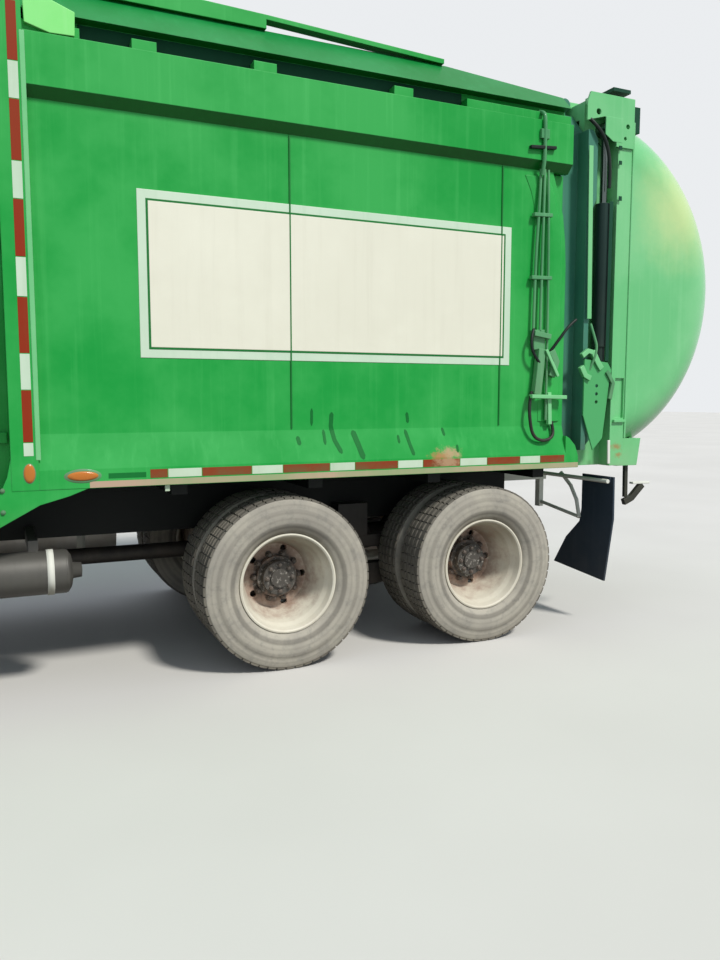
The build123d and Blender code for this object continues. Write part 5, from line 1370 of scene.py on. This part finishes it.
rubbers = [front_frame(*SCREEN)]
for side_name, side in SIDES:
    rubbers.append(side_frame(side, *QUARTER_GLASS))
    door = [side_frame(side, *DOOR_GLASS)]
    carrier = f"cab_door_{side_name}"
    build(f"door_rubber_{side_name}", door, carrier, "black_plastic", FINE_BEVEL)
build("window_rubbers", rubbers, "chassis", "black_plastic", FINE_BEVEL)
print("window rubbers", len(rubbers) + len(SIDES))

# %% [markdown]
# Strips, bezels, lamps, ribs and plates are blocks with softened edges. The table says where the left
# one is, and the loop makes the right one too, unless a block spans the middle of the truck or belongs
# to the battery box, which is on the left alone.
# %% Blocks on the cab, box, tank, hopper and tail
BLOCKS = (  # piece, body, finish, stations, y, heights; made on both sides unless y spans the middle
    ("cab_rub_strip", "chassis", "black_plastic", (4.700, 5.322), (0.908, 0.918), (1.440, 1.490)),
    ("cab_rub_strip", "chassis", "black_plastic", (6.150, 6.340), (0.908, 0.918), (1.440, 1.490)),
    ("door_rub_strip", "cab_door", "black_plastic", (5.345, 6.060), (0.908, 0.918), (1.440, 1.490)),
    ("door_handle_cup", "cab_door", "black_plastic", (5.375, 5.535), (0.908, 0.914), (1.675, 1.755)),
    ("screen_visor", "chassis", "black_plastic", (6.290, 6.435), (-0.830, 0.830), (2.625, 2.640)),
    ("headlamp_bezels", "chassis", "black_plastic", (6.398, 6.424), (0.530, 0.560), (1.180, 1.430)),
    ("headlamp_bezels", "chassis", "black_plastic", (6.398, 6.424), (0.820, 0.850), (1.180, 1.430)),
    ("headlamp_bezels", "chassis", "black_plastic", (6.398, 6.424), (0.530, 0.850), (1.400, 1.430)),
    ("headlamp_bezels", "chassis", "black_plastic", (6.398, 6.424), (0.530, 0.850), (1.180, 1.210)),
    ("headlamp_bezels", "chassis", "black_plastic", (6.398, 6.436), (0.684, 0.696), (1.200, 1.410)),
    ("grille_surround", "chassis", "black_plastic", (6.398, 6.428), (-0.515, 0.515), (1.652, 1.680)),
    ("grille_surround", "chassis", "black_plastic", (6.398, 6.428), (-0.515, 0.515), (1.160, 1.186)),
    ("grille_surround", "chassis", "black_plastic", (6.398, 6.428), (0.490, 0.515), (1.160, 1.680)),
    ("turn_lamps", "chassis", "lamp_amber", (6.398, 6.420), (0.560, 0.820), (1.140, 1.176)),
    ("roof_lamps", "chassis", "lamp_amber", (6.120, 6.180), (0.620, 0.720), (2.785, 2.815)),
    ("roof_lamps", "chassis", "lamp_amber", (6.120, 6.180), (0.180, 0.270), (2.785, 2.815)),
    ("roof_lamps", "chassis", "lamp_amber", (6.120, 6.180), (-0.045, 0.045), (2.785, 2.815)),
    ("mirror_faces", "chassis", "mirror_glass", (6.2515, 6.256), (0.945, 1.030), (1.965, 2.385)),
    ("box_lid", "chassis", "frame_paint", (3.042, 4.058), (0.555, 1.048), (0.835, 0.852)),
    ("box_latches", "chassis", "steel", (3.250, 3.320), (1.038, 1.052), (0.760, 0.840)),
    ("box_latches", "chassis", "steel", (3.780, 3.850), (1.038, 1.052), (0.760, 0.840)),
    ("hopper_rails", "chassis", "green_paint", (2.180, 4.180), (1.046, 1.0525), (3.560, 3.660)),
    ("hopper_rails", "chassis", "green_paint", (2.180, 4.180), (1.046, 1.074), (2.360, 2.420)),
    ("hopper_rails", "chassis", "green_paint", (2.180, 4.000), (1.046, 1.074), (1.380, 1.440)),
    ("hopper_ribs", "chassis", "green_paint", (2.300, 2.370), (1.046, 1.072), (1.400, 3.600)),
    ("hopper_ribs", "chassis", "green_paint", (2.900, 2.970), (1.046, 1.072), (1.400, 2.390)),
    ("hopper_ribs", "chassis", "green_paint", (3.500, 3.570), (1.046, 1.072), (1.400, 2.390)),
    ("hopper_front_ribs", "chassis", "green_paint", (4.195, 4.232), (0.420, 0.480), (1.850, 3.500)),
    ("hopper_front_ribs", "chassis", "green_paint", (4.195, 4.232), (-1.000, 1.000), (2.900, 2.960)),
    ("plate_holder", "tailgate", "hanger_steel", (-2.022, -1.990), (-0.170, 0.170), (1.180, 1.300)),
    ("rear_plate", "tailgate", "sign_white", (-2.026, -2.020), (-0.155, 0.155), (1.190, 1.290)),
    ("tail_bezels", "tailgate", "black_plastic", (-2.022, -1.985), (0.810, 1.100), (1.246, 1.258)),
    ("tail_bezels", "tailgate", "black_plastic", (-2.008, -1.985), (0.810, 1.100), (1.136, 1.144)),
    ("dome_seams", "tailgate", "gate_green", (-1.818, -1.802), (1.200, 1.212), (1.335, 3.480)),
)
BLOCK_SLOTS = {
    "green_paint": "green_paint", "gate_green": "green_paint", "frame_paint": "frame_paint",
    "lamp_amber": "lamp_clear", "steel": "steel",
}
BLOCK_BEVEL = 0.004
LEFT_ONLY = ("box_lid", "box_latches")


def block_parts(items, ways):
    """Blocks on each side that is asked for, or once where they span the middle."""
    parts = []
    for s, y, z in items:
        parts += [side_block(way, s, y, z) for way in (ways if y[0] > 0 else ways[:1])]
    return parts


for (name, body, coat), items in gathered(BLOCKS):
    slot = BLOCK_SLOTS.get(coat, "black_plastic")
    if body == "cab_door":
        for side_name, side in SIDES:
            parts = block_parts(items, (side,))
            build(f"{name}_{side_name}", parts, f"{body}_{side_name}", coat, BLOCK_BEVEL)
    else:
        parts = block_parts(items, (1,) if name in LEFT_ONLY else (1, -1))
        build(name, parts, body, coat, BLOCK_BEVEL)
print("blocks", len(BLOCKS))

# %% [markdown]
# Lamps, the beacon, the bands of muffler and tank, and the filler cap are profiles spun round an axis.
# %% Round things
def bulge(radius, rise, way=1):
    """A closed lens profile along an axis."""
    out = way * rise
    shoulder = (out * 0.85, radius * 0.75)
    return [(0, 0), (0, radius), (out * 0.5, radius), shoulder, (out, radius * 0.35), (out, 0)]


def hoop(half, inner, outer):
    """The closed profile of a flat band round an axis."""
    return [(-half, inner), (-half, outer), (half, outer), (half, inner), (-half, inner)]


def on_both(s, places_y, z):
    """The places of lamps on both sides, left first."""
    return [(s, side * y, z) for _, side in SIDES for y in places_y]


BEACON_BASE = ((0, 0), (0, 0.078), (0.030, 0.070), (0.030, 0))
BEACON = ((0, 0), (0, 0.060), (0.060, 0.056), (0.085, 0.040), (0.095, 0.0))
MUFFLER_CAP = (
    (0.004, 0.110), (0.0, 0.1195), (-0.012, 0.116), (-0.030, 0.090), (-0.040, 0.045), (-0.085, 0.040),
    (-0.090, 0.0),
)
TANK_CAP = ((0, 0), (0, 0.062), (0.040, 0.060), (0.045, 0.050), (0.045, 0))
ROUND_PIECES = (  # piece, body, finish, slot, axis, profile, (station, y, height)...
    ("headlamp_lenses", "chassis", "lamp_clear", "lamp_clear", "X", bulge(0.058, 0.018),
     *on_both(6.429, (0.620, 0.755), 1.305)),
    ("tail_lenses", "tailgate", "lamp_red", "lamp_red", "X", bulge(0.036, 0.012, -1),
     *on_both(-2.018, (0.870, 0.955, 1.040), 1.195)),
    ("beacon_base", "chassis", "black_plastic", "black_plastic", "Z", BEACON_BASE, (5.000, 0, 2.788)),
    ("beacon", "chassis", "lamp_amber", "lamp_clear", "Z", BEACON, (5.000, 0, 2.816)),
    ("muffler_bands", "chassis", "hanger_steel", "aluminium", "X", hoop(0.018, 0.119, 0.1245),
     (1.995, 0.990, 0.672), (2.560, 0.990, 0.672)),
    ("muffler_cap", "chassis", "muffler_shell", "aluminium", "X", MUFFLER_CAP, (1.917, 0.990, 0.672)),
    ("tank_straps", "chassis", "hanger_steel", "aluminium", "X", hoop(0.030, 0.288, 0.294),
     (1.700, -0.790, 0.660), (2.440, -0.790, 0.660)),
    ("tank_cap", "chassis", "black_plastic", "black_plastic", "Z", TANK_CAP, (1.580, -0.850, 0.940)),
)
ROUND_STEPS = 32
for name, body, coat, slot, axis, profile, *places in ROUND_PIECES:
    parts = [spun(profile, (at(s), y, z), axis, ROUND_STEPS) for s, y, z in places]
    build(name, parts, body, coat, smooth=True)
print("round pieces", len(ROUND_PIECES))

# %% [markdown]
# Grab handles and wipers are thin pipes, so they are made as the hydraulic pipes were.
# %% Handles and wipers
RAILS = (  # name, finish, radius, (station, y, height)...
    ("grab_front", "hanger_steel", 0.013,
     (6.215, 0.905, 1.52), (6.215, 0.965, 1.53), (6.215, 0.965, 1.60), (6.215, 0.965, 1.85),
     (6.215, 0.965, 1.88), (6.215, 0.905, 1.89)),
    ("grab_rear", "hanger_steel", 0.013,
     (5.270, 0.905, 1.30), (5.270, 0.965, 1.31), (5.270, 0.965, 1.40), (5.270, 0.965, 1.74),
     (5.270, 0.965, 1.80), (5.270, 0.905, 1.81)),
    ("wiper_arm", "black_plastic", 0.009,
     (6.404, 0.080, 1.780), (6.412, 0.110, 1.800), (6.385, 0.300, 2.020), (6.365, 0.420, 2.160)),
    ("wiper_blade", "black_plastic", 0.008,
     (6.395, 0.180, 1.900), (6.380, 0.340, 2.050), (6.350, 0.640, 2.320)),
)
for side_name, side in SIDES:
    for name, coat, radius, *route in RAILS:
        tube(f"{name}_{side_name}", on_side(side, route), radius, paints[coat], "chassis")
print("handles and wipers", len(RAILS), "a side")

# %% [markdown]
# ## Rows of bolts
# Bolted joints show along the chassis rails, the post plates and the hopper's middle rail. The row tree
# sets one bolt at equal steps between two ends.
# %% Bolt rows
ROWS = (  # piece, body, finish, count, y, start (station, height), stop
    ("rail_bolts", "chassis", "nut_iron", 14, 0.4325, (4.250, 0.985), (6.000, 0.985)),
    ("rail_bolts", "chassis", "nut_iron", 14, 0.4325, (4.250, 0.830), (6.000, 0.830)),
    ("rail_bolts", "chassis", "nut_iron", 8, 0.4325, (2.850, 0.985), (3.950, 0.985)),
    ("post_bolts", "chassis", "old_green", 3, 1.218, (2.215, 1.040), (2.330, 1.040)),
    ("post_bolts", "chassis", "old_green", 3, 1.218, (2.215, 1.150), (2.420, 1.150)),
    ("hopper_bolts", "chassis", "old_green", 14, 1.074, (2.300, 2.390), (4.050, 2.390)),
)
SMALL_BOLT = (0.011, 0.008, 0.005, 0.011)  # radius, height, stud radius, stud height
for side_name, side in SIDES:
    for row, (name, body, coat, count, y, first, last) in enumerate(ROWS):
        bolt = hex_nut("bolt", *SMALL_BOLT)
        bolt.data.transform(Matrix.Rotation(-side * pi / 2, 4, "X"))
        start, stop = on_side(side, [(s, y, z) for s, z in (first, last)])
        made = grown(
            row_tree, f"{name}_{row}_{side_name}", Item=bolt, Count=count, Start=start, Stop=stop,
            Material=paints[coat],
        )
        bpy.data.objects.remove(bolt)
        mount(made, body, paints[coat])
print("bolt rows", len(ROWS), "a side")

# %% [markdown]
# ## Floor, light and camera
# A pale floor runs far past the truck. The camera, and reflections, see a pale floor and surround, but
# they throw less light back up, so the space under the truck stays as deep as in the open air. A dim
# sky and one broad sun, high on the left and a little behind, light the rest plainly.
# %% Floor
FLOOR_HALF = 80
FLOOR_PALE = (0.66, 0.65, 0.63, 1)
FLOOR_PALER = (0.70, 0.69, 0.67, 1)
FLOOR_RETURN = (0.30, 0.29, 0.27, 1)  # what the light sees of the floor


def seen_directly(tree):
    """1 for camera rays and for the rays that metal and glass show, else 0."""
    paths = add(tree, "ShaderNodeLightPath").outputs
    seen = maths(tree, "MAXIMUM", paths["Is Camera Ray"], paths["Is Glossy Ray"])
    return maths(tree, "MAXIMUM", seen, paths["Is Transmission Ray"])


far = [(x * FLOOR_HALF, y * FLOOR_HALF, 0) for x, y in ((-1, -1), (1, -1), (1, 1), (-1, 1))]
floor = mesh_piece("floor", far, [(0, 1, 2, 3)])
floor_paint = bpy.data.materials.new("floor_paint")
floor_paint.use_nodes = True
tree = floor_paint.node_tree
shader = tree.nodes["Principled BSDF"]
cloud = stretch(tree, noise(tree, object_place(tree), 0.4, 3.0), 0.3, 0.7)
pale = blend_colours(tree, cloud, FLOOR_PALE, FLOOR_PALER)
plug(tree, shader.inputs["Base Color"], blend_colours(tree, seen_directly(tree), FLOOR_RETURN, pale))
shader.inputs["Roughness"].default_value = 0.9
floor.data.materials.append(floor_paint)
print("floor", 2 * FLOOR_HALF, "metres across")

# %% [markdown]
# The world has two skies, one that is seen and one that lights. The sun's angle is wide, which softens
# the edges of shadows.
# %% World and sun
SEEN_SKY = (0.83, 0.85, 0.87, 1)
LIGHT_SKY = (0.80, 0.89, 1.0, 1)
LIGHT_SKY_STRENGTH = 0.52
SUN_STRENGTH = 2.9
SUN_ANGLE = radians(9)
SUN_COLOUR = (1.0, 0.97, 0.90)
SUN_WAY = Vector((0.26, -0.60, -0.76))
world = bpy.data.worlds.new("studio")
bpy.context.scene.world = world
world.use_nodes = True
tree = world.node_tree
tree.nodes.clear()
seen_sky = add(tree, "ShaderNodeBackground", Color=SEEN_SKY, Strength=1.0)
light_sky = add(tree, "ShaderNodeBackground", Color=LIGHT_SKY, Strength=LIGHT_SKY_STRENGTH)
either = add(tree, "ShaderNodeMixShader", Fac=seen_directly(tree))
plug(tree, either.inputs[1], light_sky.outputs[0])
plug(tree, either.inputs[2], seen_sky.outputs[0])
add(tree, "ShaderNodeOutputWorld", Surface=either.outputs[0])

lamp = bpy.data.lights.new("sun", "SUN")
lamp.energy = SUN_STRENGTH
lamp.angle = SUN_ANGLE
lamp.color = SUN_COLOUR
sun = bpy.data.objects.new("sun", lamp)
sun.rotation_mode = "QUATERNION"
sun.rotation_quaternion = SUN_WAY.to_track_quat("-Z", "Y")
bpy.context.scene.collection.objects.link(sun)
print("sun shines along", tuple(SUN_WAY))

# %% [markdown]
# The camera stands where the photograph was taken from: close by, at eye height, and a little ahead of
# the rear wheels, so the body runs away to the rear.
# %% Camera
CAMERA_S = 2.227
CAMERA_Y = 5.605
CAMERA_Z = 1.608
YAW = radians(24.33)
PITCH = radians(5.74)
SENSOR_MM = 36.0
LENS_MM = 30.08
look = Vector((-sin(YAW) * cos(PITCH), -cos(YAW) * cos(PITCH), -sin(PITCH)))
camera = bpy.data.objects.new("camera", bpy.data.cameras.new("camera"))
camera.data.sensor_width = SENSOR_MM
camera.data.lens = LENS_MM
camera.data.clip_end = 300.0
camera.location = (at(CAMERA_S), CAMERA_Y, CAMERA_Z)
camera.rotation_mode = "QUATERNION"
camera.rotation_quaternion = look.to_track_quat("-Z", "Y")
bpy.context.scene.collection.objects.link(camera)
bpy.context.scene.camera = camera
bpy.context.scene.view_settings.view_transform = "Standard"
print("camera at", tuple(camera.location))

# %% [markdown]
# ## The end
# The dressed truck should fill the same box as the CAD frame. The view layer is brought up to date last.
# %% Bring the view layer up to date
bpy.context.view_layer.update()
